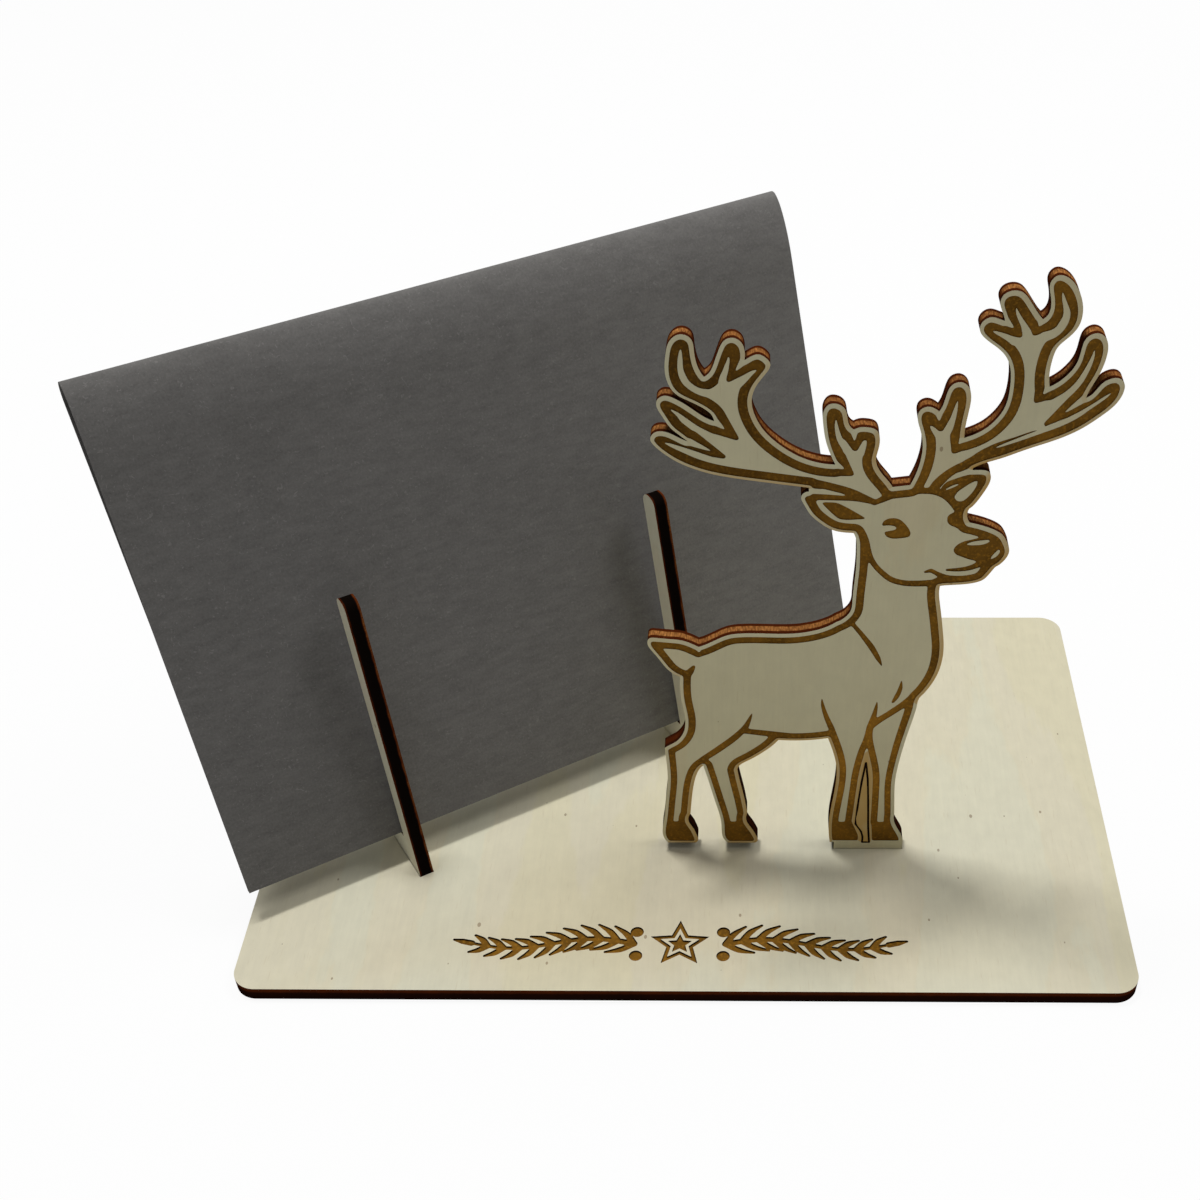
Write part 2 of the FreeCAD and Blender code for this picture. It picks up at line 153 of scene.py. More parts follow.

# How much copper the reindeer's edges show, less on the legs than up the body: heights, shares.
EDGE_TONES = ((0.0, 24.0, 44.0), (0.22, 0.35, 1.0))

# How much copper the reindeer's edges show from those facing aside to those facing up, as painted shade
# that darkens the edges facing aside: rises, shares.
PAINTED_RISE_SHADE = ((0.15, 0.75), (0.45, 1.0))

# How tan the veneer is beside a cut: round a hole, between the legs, where it stayed clean, at an
# engraved edge, and evenly along the outline with what the smoke's way adds or takes.
HOLE_STAIN = 0.95
LEG_STAIN = 0.9
CLEAN_STAIN = 0.12
EDGE_STAIN = 0.1
EVEN_STAIN = 0.3
SMOKE_STAIN = 0.75

# How much of a rim's stain a face beside it has all over.
STAIN_SPREAD = 0.75

# Stretches of the reindeer's outline between its legs that the smoke stained most: reach along x, top.
SMOKED_LEGS = ((-0.5, 2.6, 24.0), (9.0, 33.5, 35.0))

# Stretches that stayed clean, in front of the chest and on the tab's strip: start along x, top.
CLEAN_PARTS = ((41.0, 41.0), (28.0, 2.4))

# How much of the smoke's stain is left up the antlers: heights over the plate, shares.
ANTLER_SMOKE = ((98.0, 110.0), (1.0, 0.45))

# How far from the outline its engraved line is looked for, in millimetres.
OUTLINE_REACH = 4.0

# Radius in millimetres of the tips to which the engraved line runs in front of the notches.
LINE_NOSE = 0.4

# How much further the bare border is drawn in front of the notches, to make up for the softening.
BORDER_RUN = 0.7

# How much wider the bare slivers are drawn, to make up for the softening.
SLIVER_GROWTH = 0.08

# Width in millimetres over which the floor of the engraving darkens towards its rims.
RIM_WIDTH = 0.24

# The garland's star: reach of its inner corners, and sizes of the star, the bare star in it and its core.
STAR_WAIST_SHARE = 0.45
STAR_SHARES = (1.0, 0.66, 0.42)

# The garland's needles: how far they spread from the stem, how much of that is left at their tips, how
# long the last ones are, and how wide they are at root, elbow and tip.
NEEDLE_SPREAD = math.radians(44)
NEEDLE_CURL = 0.6
NEEDLE_TIP_SHARE = 0.6
NEEDLE_WIDTHS = (1.0, 0.95, 0.4)

# The garland's stems and berries: how much a stem thins, its points, the share of it over which its way is
# taken, how wide a berry is and how far it sits aside in widths of the stem, and how long its dot is.
STEM_TAPER = 0.5
STEM_STATIONS = 25
STEM_STEP = 0.01
BERRY_WIDTH = 1.8
BERRY_ASIDE = 2.1
BERRY_DOT = 0.01

# The folded card in millimetres: radius of its fold, height over which the front leaf bends into it, gap
# between the leaves at the foot, height up to which they keep it, and thickness of the paper.
CARD_FOLD = 4.0
CARD_CROWN = 14.0
CARD_GAP = 1.2
CARD_WAIST = 58.4
CARD_SHEET = 0.3

# Points up the card's front leaf, into its fold, round it, down the back leaf and to the foot, and the
# number of stations along it.
CARD_POINTS = (40, 24, 18, 16, 20)
CARD_STATIONS = 75

# The floor in metres: reach to each side and drop under the plate. How white the camera sees it.
FLOOR_REACH = 30.0
FLOOR_DROP = 0.0002
FLOOR_WHITE = 0.93

# Lamps by the name of their power: place and size in metres.
LAMPS = {
    "key": ((-0.25, 0.235, 1.2), (0.28, 0.14)),
    "side": ((0.7, 0.07, 1.0), (0.4, 0.3)),
    "rear": ((0.38, 0.47, 1.1), (0.35, 0.35)),
}

# The camera: place in metres, yaw, pitch and roll in radians, sensor and lens in millimetres, shift of its
# frame, and the nearest that it sees in metres.
CAMERA_PLACE = (0.01367, -0.25652, 0.24597)
CAMERA_TURN = (-0.030821, 0.758954, -0.01926)
CAMERA_SENSOR = 36.0
CAMERA_LENS = 47.28
CAMERA_SHIFT = (-0.0978, 0.1525)
CAMERA_CLIP = 0.01

# The reindeer's engraving, in millimetres on its face: x from the plate's middle, z over the plate's top.
# A stroke is a run of (x, z, width).
STROKES = {
    "shoulder": (
        (31.9, 61.2, 0.8), (34.5, 57.6, 1.0), (36.2, 55.0, 1.2), (37.6, 52.3, 1.0), (38.7, 49.8, 0.15)),
    "chest_crease": ((42.5, 47.2, 0.2), (42.4, 44.8, 0.85), (41.8, 42.6, 1.0), (41.1, 41.15, 0.6)),
    "breast": (
        (46.65, 45.6, 0.9), (45.3, 43.2, 1.4), (43.6, 41.0, 1.5), (41.0, 38.5, 1.45),
        (38.4, 36.2, 1.45), (37.0, 34.6, 1.35)),
    "leg_spur": ((37.0, 34.6, 1.4), (37.55, 37.2, 1.1), (37.95, 39.8, 0.7), (38.1, 42.1, 0.15)),
    "left_front_leg": (
        (37.0, 34.6, 1.4), (36.7, 32.5, 1.3), (36.35, 30.8, 1.3), (35.85, 29.0, 1.35),
        (35.35, 26.5, 1.4), (34.85, 23.3, 1.4), (34.25, 15.0, 1.4), (33.8, 7.8, 1.4)),
    "right_front_leg": (
        (37.0, 34.6, 1.4), (37.0, 32.5, 1.3), (37.2, 30.8, 1.3), (37.55, 29.0, 1.35), (38.1, 26.5, 1.4),
        (38.75, 23.3, 1.4), (39.15, 15.0, 1.4), (39.2, 7.8, 1.4)),
    "elbow": (
        (27.15, 42.7, 0.2), (27.4, 40.5, 0.7), (28.2, 37.5, 1.0), (29.4, 34.2, 1.25),
        (30.1, 32.0, 1.25), (30.75, 30.0, 0.9)),
    "belly": ((24.0, 32.3, 0.8), (20.5, 32.45, 1.4), (16.5, 32.95, 1.5), (12.4, 33.55, 1.4)),
    "thigh": (
        (13.65, 38.6, 0.25), (13.0, 36.6, 0.8), (12.3, 34.8, 1.2), (10.5, 32.3, 1.5), (7.8, 29.6, 1.55),
        (5.1, 27.2, 1.5), (3.2, 25.6, 1.3), (1.72, 24.0, 0.8)),
    "tail_spur": ((0.75, 47.6, 1.5), (1.6, 49.0, 1.4), (2.3, 50.2, 0.7)),
    "jaw": (
        (30.6, 82.3, 0.8), (32.2, 82.0, 1.2), (33.2, 80.8, 1.4), (33.9, 79.0, 1.4), (34.4, 77.2, 1.2),
        (35.0, 75.5, 1.05), (35.8, 74.0, 1.05), (37.2, 72.3, 1.1), (39.0, 70.75, 1.2),
        (41.2, 70.0, 1.25), (44.0, 69.85, 1.35), (47.5, 70.1, 1.4)),
    "mouth": (
        (45.0, 72.4, 0.55), (46.1, 72.8, 0.85), (47.3, 72.05, 0.9), (48.8, 71.35, 1.0),
        (51.0, 71.0, 1.15), (54.0, 71.15, 1.3)),
    "upper_lip": (
        (48.9, 72.9, 0.55), (51.0, 72.95, 0.85), (53.0, 73.3, 1.05), (54.6, 74.1, 1.25),
        (55.7, 75.0, 1.5)),
    "crown": (
        (35.0, 87.3, 1.0), (36.7, 88.2, 1.3), (38.6, 89.1, 1.35), (41.1, 89.65, 1.25),
        (43.5, 89.8, 1.25), (45.6, 89.6, 1.3), (47.2, 88.9, 1.4), (48.7, 87.5, 1.4), (49.7, 86.0, 1.2)),
    "brow": ((49.0, 83.2, 1.3), (51.2, 82.2, 1.35), (53.7, 81.3, 1.3)),
    "left_beam": (
        (20.5, 92.2, 0.9), (23.0, 91.75, 1.5), (25.0, 91.3, 1.55), (27.5, 90.6, 1.55),
        (30.0, 89.85, 1.5), (31.8, 89.1, 1.45), (33.5, 88.2, 1.35), (35.0, 87.5, 1.1)),
    "left_ear_top": (
        (23.5, 88.6, 1.3), (26.0, 88.55, 1.2), (29.0, 88.35, 1.0), (32.0, 88.05, 0.85),
        (34.5, 87.5, 0.8)),
    "right_beam": (
        (55.5, 97.2, 0.9), (54.0, 96.6, 1.4), (51.5, 95.6, 1.5), (49.0, 94.4, 1.5), (47.0, 92.8, 1.6),
        (45.6, 91.1, 1.7), (44.9, 89.9, 1.5)),
    "right_beam_line": (
        (50.6, 95.8, 0.5), (52.6, 97.4, 0.8), (55.0, 98.9, 0.7), (58.0, 100.2, 0.5), (61.0, 101.5, 0.4),
        (63.2, 102.3, 0.25)),
}

# Areas that are engraved all over.
FILLS = {
    "far_hoof": ((-5.2, 1.5), (2.4, 1.5), (2.4, 8.05), (-5.2, 8.05)),
    "near_hoof": ((6.8, 1.5), (15.0, 1.5), (15.0, 8.05), (6.8, 8.05)),
    "left_front_hoof": (
        (30.6, 2.45), (36.1, 2.45), (36.0, 4.2), (35.6, 5.3), (34.75, 7.6), (34.6, 8.05), (29.5, 8.05)),
    "right_front_hoof": (
        (39.1, 2.45), (46.0, 2.45), (45.5, 4.0), (44.0, 8.05), (38.7, 8.05), (38.9, 5.0)),
    "left_ear": (
        (25.6, 87.45), (27.0, 87.45), (28.5, 87.3), (30.0, 86.55), (32.0, 85.25), (34.0, 83.95),
        (32.0, 83.85), (30.0, 83.8), (29.0, 84.0), (27.9, 84.9), (26.7, 86.2)),
    "right_ear": (
        (46.5, 90.3), (47.5, 91.6), (49.5, 92.9), (52.0, 93.3), (53.8, 93.2), (54.0, 92.0),
        (53.0, 89.0), (51.5, 87.0), (50.2, 86.4), (49.2, 87.3), (48.3, 88.6), (47.0, 89.6)),
    "eye": (
        (36.55, 82.45), (36.75, 83.3), (37.4, 83.9), (38.6, 84.15), (39.8, 83.8), (40.8, 82.8),
        (41.6, 81.6), (41.85, 80.6), (41.6, 80.1), (40.6, 79.9), (39.3, 79.75), (38.2, 79.85),
        (37.4, 80.4), (37.05, 81.25), (38.4, 81.5), (39.2, 81.8), (39.35, 82.15), (38.9, 82.4),
        (37.7, 82.6)),
    "brow": (
        (48.15, 83.2), (48.2, 84.6), (48.9, 85.2), (49.6, 85.4), (50.5, 86.2), (51.3, 84.6),
        (51.2, 83.2), (50.5, 82.7), (48.9, 82.8)),
    "nose": (
        (49.8, 77.2), (50.2, 78.2), (51.2, 79.0), (53.0, 79.6), (55.5, 80.1), (57.5, 80.3),
        (59.2, 78.5), (59.4, 76.5), (58.4, 74.6), (57.2, 73.6), (55.9, 74.2), (54.5, 74.75),
        (53.0, 75.15), (51.5, 75.75), (50.2, 76.45)),
}

# Slivers up the middle of the antlers' tines that stay bare, as strokes.
BARE_STROKES = {
    "left_tine_1": (
        (6.2, 96.25, 1.0), (3.9, 97.2, 0.95), (2.4, 97.8, 0.9), (0.9, 98.45, 0.7), (-0.6, 99.15, 0.45),
        (-1.75, 99.65, 0.1)),
    "left_tine_2": (
        (6.9, 100.3, 1.5), (5.3, 101.35, 1.15), (3.85, 102.4, 0.9), (2.4, 103.65, 0.75),
        (0.9, 105.05, 0.5), (-0.55, 106.2, 0.1)),
    "left_tine_3": (
        (6.4, 108.9, 1.4), (4.4, 109.45, 1.0), (2.75, 110.7, 0.95), (1.9, 112.0, 0.88),
        (1.6, 113.4, 0.8), (1.6, 115.1, 0.68), (1.66, 116.2, 0.45), (1.76, 117.3, 0.1)),
    "left_tine_4": (
        (8.45, 111.2, 1.05), (8.68, 112.15, 0.9), (9.02, 113.0, 0.78), (9.24, 113.9, 0.6),
        (9.54, 115.1, 0.33), (9.55, 115.9, 0.1)),
    "left_tine_5": ((10.6, 110.2, 1.4), (12.1, 111.6, 1.1), (13.4, 112.75, 0.55), (14.35, 113.35, 0.1)),
    "left_brow_1": ((29.6, 97.9, 0.7), (28.4, 100.2, 0.8), (27.8, 102.4, 0.5), (27.6, 104.3, 0.1)),
    "left_brow_2": ((32.3, 97.2, 0.7), (32.7, 98.8, 0.5), (33.0, 100.0, 0.1)),
    "right_brow_1": ((45.0, 100.8, 0.7), (44.2, 101.9, 0.5), (43.5, 102.8, 0.1)),
    "right_brow_2": ((46.0, 99.7, 0.9), (46.9, 102.2, 1.05), (47.55, 105.2, 0.6), (47.9, 107.8, 0.1)),
    "right_beam_tip": (
        (56.0, 118.2, 1.2), (55.06, 118.8, 0.85), (53.6, 119.5, 0.55), (52.1, 120.15, 0.1)),
    "right_beam": (
        (56.0, 98.65, 0.1), (58.5, 99.8, 0.45), (61.0, 100.9, 0.55), (62.9, 101.75, 0.6),
        (64.7, 102.75, 0.6)),
    "right_tine_2": (
        (57.9, 119.7, 1.0), (57.5, 120.6, 0.85), (56.8, 121.7, 0.6), (56.14, 122.8, 0.45),
        (55.5, 124.4, 0.1)),
    "right_tine_3": (
        (60.8, 119.0, 1.6), (62.3, 119.6, 1.3), (63.35, 120.8, 1.15), (63.84, 122.1, 1.0),
        (63.84, 123.2, 0.92), (63.5, 124.3, 0.62), (63.06, 125.4, 0.45), (62.58, 127.0, 0.1)),
    "right_tine_4": (
        (64.4, 107.2, 1.5), (65.66, 108.3, 1.1), (66.66, 109.4, 0.95), (67.66, 110.9, 0.85),
        (68.3, 112.4, 0.75), (68.8, 113.9, 0.6), (69.15, 115.4, 0.38), (69.28, 117.05, 0.1)),
    "right_tine_5": (
        (64.7, 102.75, 0.55), (66.6, 103.8, 0.5), (68.4, 104.95, 0.45), (70.3, 106.3, 0.45),
        (72.16, 107.85, 0.4), (73.5, 109.1, 0.1)),
}

# Areas that stay bare inside what is engraved.
BARE_SPOTS = {
    "tab": ((28.0, -5.0), (48.0, -5.0), (48.0, 2.45), (28.0, 2.45)),
    "left_ear_gap": (
        (22.6, 90.4), (25.0, 90.25), (28.0, 89.6), (31.0, 88.7), (32.1, 88.4), (30.0, 88.75),
        (27.0, 89.1), (24.0, 89.3), (22.6, 89.6)),
    "right_ear_gap": (
        (52.6, 94.9), (50.0, 93.85), (48.0, 92.5), (47.0, 91.4), (49.0, 92.35), (51.0, 93.05),
        (53.0, 93.4)),
    "right_ear_sliver": ((46.9, 89.95), (48.5, 90.95), (50.6, 91.65), (49.0, 90.65), (47.2, 89.75)),
    "right_ear_leaf": (
        (49.0, 88.4), (49.3, 89.3), (50.5, 90.5), (52.0, 91.6), (52.85, 92.0), (52.5, 90.5),
        (51.4, 88.6), (50.5, 87.7), (49.9, 87.6), (49.3, 87.9)),
    "nose_light": ((51.4, 78.4), (53.0, 79.0), (55.9, 79.5), (56.3, 79.2), (55.6, 78.7), (53.0, 78.3)),
    "nose_edge": ((56.4, 75.1), (57.2, 76.5), (58.0, 77.6), (58.2, 77.2), (57.8, 76.0), (56.7, 75.1)),
}

# Narrow notches of the outline, where border and line run to a point: notch, border's tip, line's tip.
NOTCHES = (
    ((2.45, 99.85), (6.9, 97.7), (8.95, 96.6)),
    ((7.05, 103.75), (8.75, 102.2), (11.15, 100.1)),
    ((12.2, 115.1), (10.75, 113.15), (9.3, 111.1)),
    ((27.85, 95.15), (29.2, 94.4), (31.15, 93.0)),
    ((30.8, 102.05), (30.95, 99.95), (31.2, 97.65)),
    ((44.9, 105.4), (45.05, 103.85), (45.55, 101.45)),
    ((49.55, 100.35), (48.95, 99.45), (47.85, 97.25)),
    ((54.1, 121.85), (55.5, 120.7), (57.15, 118.95)),
    ((60.2, 122.1), (59.8, 121.15), (59.0, 119.15)),
    ((62.75, 109.95), (62.1, 108.85), (60.65, 107.0)),
    ((69.1, 107.95), (65.6, 104.8), (62.8, 102.75)),
    ((3.3, 55.05), (3.35, 54.05), (3.15, 52.3)),
)


colour_property = partial(FloatVectorProperty, subtype="COLOR", size=3, min=0, max=1)
length_property = partial(FloatProperty, min=0, unit="LENGTH")
power_property = partial(FloatProperty, min=0, unit="POWER")


class CardHolderWood(bpy.types.PropertyGroup):
    """Colours of the plywood."""

    bare: colour_property(
        name="Bare plywood", description="Pale veneer of the broad sides", default=(0.63, 0.588, 0.442))
    # Painted light: a yellower copy of the bare veneer, standing for warm light that the plate throws back
    # onto the reindeer.
    upright: colour_property(
        name="Upright plywood", description="Yellower veneer of the reindeer", default=(0.60, 0.55, 0.358))
    flame: colour_property(
        name="Flame", description="Cooler tongues of the grain, against the veneer", max=2,
        default=(0.985, 1.025, 1.05))
    warm: colour_property(
        name="Warm bands", description="Warmer bands of the grain, against the veneer", max=2,
        default=(1.0, 0.995, 0.945))
    scorch: colour_property(
        name="Scorch", description="Tan stain that the laser leaves beside a cut",
        default=(0.48, 0.275, 0.055))
    engraved: colour_property(
        name="Engraving", description="Brown floor of the engraved lines", default=(0.215, 0.1, 0.0105))
    burnt: colour_property(
        name="Burnt edge", description="Copper brown of a cut edge's core", default=(0.262, 0.112, 0.0315))
    umber: colour_property(
        name="Umber", description="Red brown of a cut edge's outer plies", default=(0.075, 0.0145, 0.003))
    soot: colour_property(
        name="Soot", description="Nearly black char on cut edges and round engraved marks",
        default=(0.0035, 0.0025, 0.002))


class CardHolderEngraving(bpy.types.PropertyGroup):
    """Sizes of the engraving."""

    border: length_property(
        name="Border", description="Bare width between the cut edge and the engraved outline",
        default=0.69 * MM)
    antler_line: length_property(
        name="Antler line", description="Width of the engraved outline on the antlers", default=1.65 * MM)
    body_line: length_property(
        name="Body line", description="Width of the engraved outline on head and body", default=1.48 * MM)
    leg_line: length_property(
        name="Leg line", description="Width of the engraved outline on the legs", default=1.33 * MM)
    drift_x: FloatProperty(
        name="Drift sideways", description="How far the engraving sits right of the cut outline",
        default=-0.06 * MM, unit="LENGTH")
    drift_z: FloatProperty(
        name="Drift upwards", description="How far the engraving sits over the cut outline",
        default=-0.2 * MM, unit="LENGTH")
    depth: length_property(
        name="Depth", description="Depth of the reindeer's engraving", default=0.15 * MM)
    plate_depth: length_property(
        name="Plate depth", description="Depth of the engraving on the plate", default=0.4 * MM)
    cell: length_property(
        name="Sampling", description="Step of the grid on which the engraving is drawn", default=0.12 * MM,
        min=0.02 * MM)


class CardHolderGarland(bpy.types.PropertyGroup):
    """Sizes of the garland engraved along the plate's front: a star between two fir sprigs."""

    aside: FloatProperty(
        name="Aside", description="How far the star sits right of the plate's middle", default=-1.0 * MM,
        unit="LENGTH")
    inset: length_property(
        name="Inset", description="How far the star's middle lies behind the plate's front edge",
        default=12.2 * MM)
    length: length_property(
        name="Length", description="Length of the garland from tip to tip", default=92 * MM)
    star: length_property(name="Star", description="Radius of the star", default=6.3 * MM)
    needle: length_property(
        name="Needle", description="Length of the longest needles", default=6.2 * MM)
    width: length_property(
        name="Width", description="Width of stems and needles at their root", default=1.5 * MM)
    pitch: length_property(
        name="Pitch", description="Step from one pair of needles to the next", default=3.3 * MM,
        min=0.5 * MM)
    wave: length_property(
        name="Wave", description="How far the stems swing to each side", default=1.3 * MM)


class CardHolderPaper(bpy.types.PropertyGroup):
    """Looks of the card."""

    grey: colour_property(
        name="Paper", description="Grey of the recycled paper", default=(0.140, 0.135, 0.129))


class CardHolderStage(bpy.types.PropertyGroup):
    """Floor and light."""

    floor: colour_property(
        name="Floor", description="Pale table under the holder", default=(0.86, 0.86, 0.86))
    sky: FloatProperty(
        name="Sky", description="Strength of the even light from all round", default=0.2, min=0)
    key: power_property(name="Key light", description="Power of the wide lamp overhead", default=8.9)
    side: power_property(name="Side light", description="Power of the lamp from the right", default=3.4)
    rear: power_property(name="Rear light", description="Power of the lamp from behind", default=1.6)


class CardHolderSettings(bpy.types.PropertyGroup):
    """All settings of the holder."""

    wood: PointerProperty(type=CardHolderWood)
    engraving: PointerProperty(type=CardHolderEngraving)
    garland: PointerProperty(type=CardHolderGarland)
    paper: PointerProperty(type=CardHolderPaper)
    stage: PointerProperty(type=CardHolderStage)


class Nodes:
    """A node tree under construction, with short ways to add nodes and join them."""

    def __init__(self, tree):
        self.tree = tree

    def add(self, kind, inputs=(), **settings):
        """A new node with its settings, and with values or other sockets on its inputs."""
        node = self.tree.nodes.new(kind)
        for name, value in settings.items():
            setattr(node, name, value)
        for key, value in dict(inputs).items():
            self.feed(node.inputs[key], value)
        return node

    def feed(self, socket, value):
        """Set an input to a value, or join another node's socket to it."""
        if isinstance(value, bpy.types.NodeSocket):
            self.tree.links.new(value, socket)
        elif socket.type == "RGBA":
            socket.default_value = (*value[:3], 1.0)
        else:
            socket.default_value = value

    def sum(self, operation, first, second):
        """Arithmetic on two values."""
        return self.add("ShaderNodeMath", {0: first, 1: second}, operation=operation).outputs["Value"]

    def whiten(self, shader, kind, share, output):
        """Let rays from the camera, and mirrored or refracted ones, see white for a share."""
        path = self.add("ShaderNodeLightPath").outputs
        seen = path["Is Camera Ray"]
        for name in ("Is Glossy Ray", "Is Transmission Ray"):
            seen = self.sum("MAXIMUM", seen, path[name])
        part = self.sum("MULTIPLY", seen, share)
        white = self.add(kind, {"Color": (1, 1, 1), "Strength": 1.0})
        mix = self.add("ShaderNodeMixShader", {0: part, 1: shader.outputs[0], 2: white.outputs[0]})
        self.feed(self.tree.nodes[output].inputs["Surface"], mix.outputs["Shader"])


class Finish(Nodes):
    """A material under construction."""

    def __init__(self, name):
        self.material = bpy.data.materials.new(name)
        self.material.use_nodes = True
        super().__init__(self.material.node_tree)
        self.shader = self.tree.nodes["Principled BSDF"]

    def spot(self, scale=(1, 1, 1)):
        """The object's own coordinates, stretched along each axis."""
        place = self.add("ShaderNodeTexCoord").outputs["Object"]
        return self.add("ShaderNodeMapping", {"Vector": place, "Scale": scale}).outputs["Vector"]

    def mark(self, name):
        """A value that the mesh holds under a name."""
        return self.add("ShaderNodeAttribute", attribute_name=name).outputs["Fac"]

    def noise(self, vector, scale, detail=2.0, roughness=0.5, distortion=0.0):
        """Soft noise between 0 and 1."""
        return self.add("ShaderNodeTexNoise", {
            "Vector": vector, "Scale": scale, "Detail": detail, "Roughness": roughness,
            "Distortion": distortion}).outputs["Fac"]

    def span(self, value, low, high, start=0.0, end=1.0):
        """A value's stretch from low to high, spread from start to end and held there beyond it."""
        return self.add("ShaderNodeMapRange", {
            "Value": value, "From Min": low, "From Max": high, "To Min": start,
            "To Max": end}).outputs["Result"]

    def blend(self, share, first, second, kind="MIX"):
        """Two colours mixed by a share."""
        inputs = {0: share, 6: first, 7: second}
        return self.add("ShaderNodeMix", inputs, data_type="RGBA", blend_type=kind).outputs[2]

    def shaded(self, colour, shade):
        """A colour times a shade of grey."""
        parts = dict.fromkeys(("Red", "Green", "Blue"), shade)
        grey = self.add("ShaderNodeCombineColor", parts).outputs["Color"]
        return self.blend(1.0, colour, grey, "MULTIPLY")

    def dress(self, colour, roughness, gloss):
        """Give the surface its colour, its roughness and its gloss."""
        looks = {"Base Color": colour, "Roughness": roughness, "Specular IOR Level": gloss}
        for name, value in looks.items():
            self.feed(self.shader.inputs[name], value)

    def bump(self, height, strength, distance):
        """Small relief on the surface."""
        relief = self.add("ShaderNodeBump", {"Height": height, "Strength": strength, "Distance": distance})
        self.feed(self.shader.inputs["Normal"], relief.outputs["Normal"])


def dimmed(colour, share):
    """A colour times a share."""
    return tuple(share * part for part in colour)


def bare_plywood(name, wood, veneer, grain):
    """Pale veneer with flames, warm bands and fibres along the grain, pores, flecks and scorched rims."""
    finish = Finish(name)

    def along(share):
        """Coordinates drawn out along the grain by a share."""
        return finish.spot(Vector((1, 1, 1)) - Vector(grain) * share)

    fibre = finish.noise(along(0.94), 1500, 3, 0.6)
    ragged = finish.span(finish.noise(along(0.7), 330, 3, 0.6), 0.0, 1.0, -0.05, 0.05)
    swell = finish.sum("ADD", finish.noise(along(0.87), 52, 1, 0.4, 0.3), ragged)
    flame = finish.span(swell, 0.546, 0.56)
    warm = finish.span(swell, 0.445, 0.425)
    brink = finish.sum("ABSOLUTE", finish.sum("SUBTRACT", swell, 0.548), 0.0)
    brink = finish.span(brink, 0.0, 0.022, 1.0, 0.0)
    lit = finish.blend(1.0, veneer, wood.flame, "MULTIPLY")
    toned = finish.blend(1.0, veneer, wood.warm, "MULTIPLY")
    colour = finish.blend(finish.sum("MULTIPLY", flame, 0.75), veneer, lit)
    colour = finish.blend(warm, colour, toned)
    colour = finish.blend(finish.sum("MULTIPLY", brink, 0.3), colour, toned)
    mottle = finish.span(finish.noise(along(0.3), 300, 3, 0.6), *MIDDLE, 0.966, 1.029)
    shade = finish.sum("MULTIPLY", finish.span(fibre, *MIDDLE, 0.975, 1.022), mottle)
    colour = finish.shaded(colour, shade)
    pores = finish.span(finish.noise(along(0.9), 2400, 1), 0.68, 0.76, 0.0, 0.16)
    colour = finish.blend(pores, colour, PORE)
    flecks = finish.add("ShaderNodeTexVoronoi", {"Vector": along(0.4), "Scale": 260.0, "Randomness": 1.0})
    chosen = finish.add("ShaderNodeSeparateColor", {"Color": flecks.outputs["Color"]}).outputs["Red"]
    size = finish.span(chosen, 0.55, 1.0, 0.0, 0.1)
    fleck = finish.sum("LESS_THAN", flecks.outputs["Distance"], size)
    colour = finish.blend(finish.sum("MULTIPLY", fleck, 0.62), colour, FLECK)
    stain = finish.span(finish.noise(finish.spot(), 90, 2), 0.25, 0.6, 0.7, 1.0)
    colour = finish.blend(finish.sum("MULTIPLY", finish.mark("char"), stain), colour, wood.scorch)
    finish.dress(colour, finish.span(fibre, *MIDDLE, 0.56, 0.72), 0.3)
    finish.bump(fibre, 0.08, 0.00006)
    return finish.material


def engraved_wood(name, wood, rim_soot):
    """Brown floor of the engraving, darker along its rims."""
    finish = Finish(name)
    spot = finish.spot()
    grain = finish.noise(spot, 1500, 3, 0.6)
    cloud = finish.noise(spot, 220, 2, 0.5)
    colour = finish.blend(finish.span(cloud, *MIDDLE), wood.engraved, dimmed(wood.engraved, 0.55))
    colour = finish.blend(finish.span(grain, 0.5, 0.7, 0.0, 0.8), colour, dimmed(wood.engraved, 1.5))
    colour = finish.shaded(colour, finish.mark("tone"))
    rim = finish.sum("MULTIPLY", finish.sum("POWER", finish.mark("char"), 1.6), rim_soot)
    colour = finish.blend(rim, colour, wood.soot)
    finish.dress(colour, finish.span(grain, *MIDDLE, 0.7, 0.9), 0.06)
    finish.bump(grain, 0.35, 0.0001)
    return finish.material


def burnt_edge(name, wood, plies):
    """Cut edge of the plywood: plies from soot to copper, with ticks across them, smoke along them and
    painted shade from a mark.
    """
    finish = Finish(name)
    through = finish.mark("through")
    pattern = {"X": finish.mark("along"), "Y": finish.sum("MULTIPLY", through, PLY_SPREAD)}
    place = finish.add("ShaderNodeCombineXYZ", pattern).outputs["Vector"]
    ticks = finish.noise(place, 3400, 2, 0.6)
    smoke = finish.noise(place, 130, 3, 0.6)
    ripple = finish.span(finish.noise(place, 500, 2), *MIDDLE, -0.03, 0.03)
    ply = finish.add("ShaderNodeValToRGB", {"Fac": finish.sum("ADD", through, ripple)})
    elements = ply.color_ramp.elements
    for share, _ in plies[1:-1]:
        elements.new(share)
    for element, (_, copper) in zip(elements, plies):
        element.color = (copper, copper, copper, 1.0)
    dim, bright = dimmed(wood.burnt, 0.7), dimmed(wood.burnt, 2.2)
    copper = finish.blend(finish.span(ticks, 0.38, 0.68), dim, bright)
    share = finish.sum("MULTIPLY", ply.outputs["Color"], finish.span(smoke, 0.35, 0.65, 0.7, 1.0))
    # The mark darkens the reindeer's lower edges and holds painted shade that pulls edges facing aside
    # towards soot.
    share = finish.sum("MULTIPLY", share, finish.mark("tone"))
    colour = finish.blend(finish.span(share, 0.0, 0.5), wood.soot, wood.umber)
    colour = finish.blend(finish.span(share, 0.5, 1.0), colour, copper)
    finish.dress(colour, finish.span(ticks, *MIDDLE, 0.8, 0.95), 0.0)
    finish.bump(ticks, 0.4, 0.0001)
    return finish.material


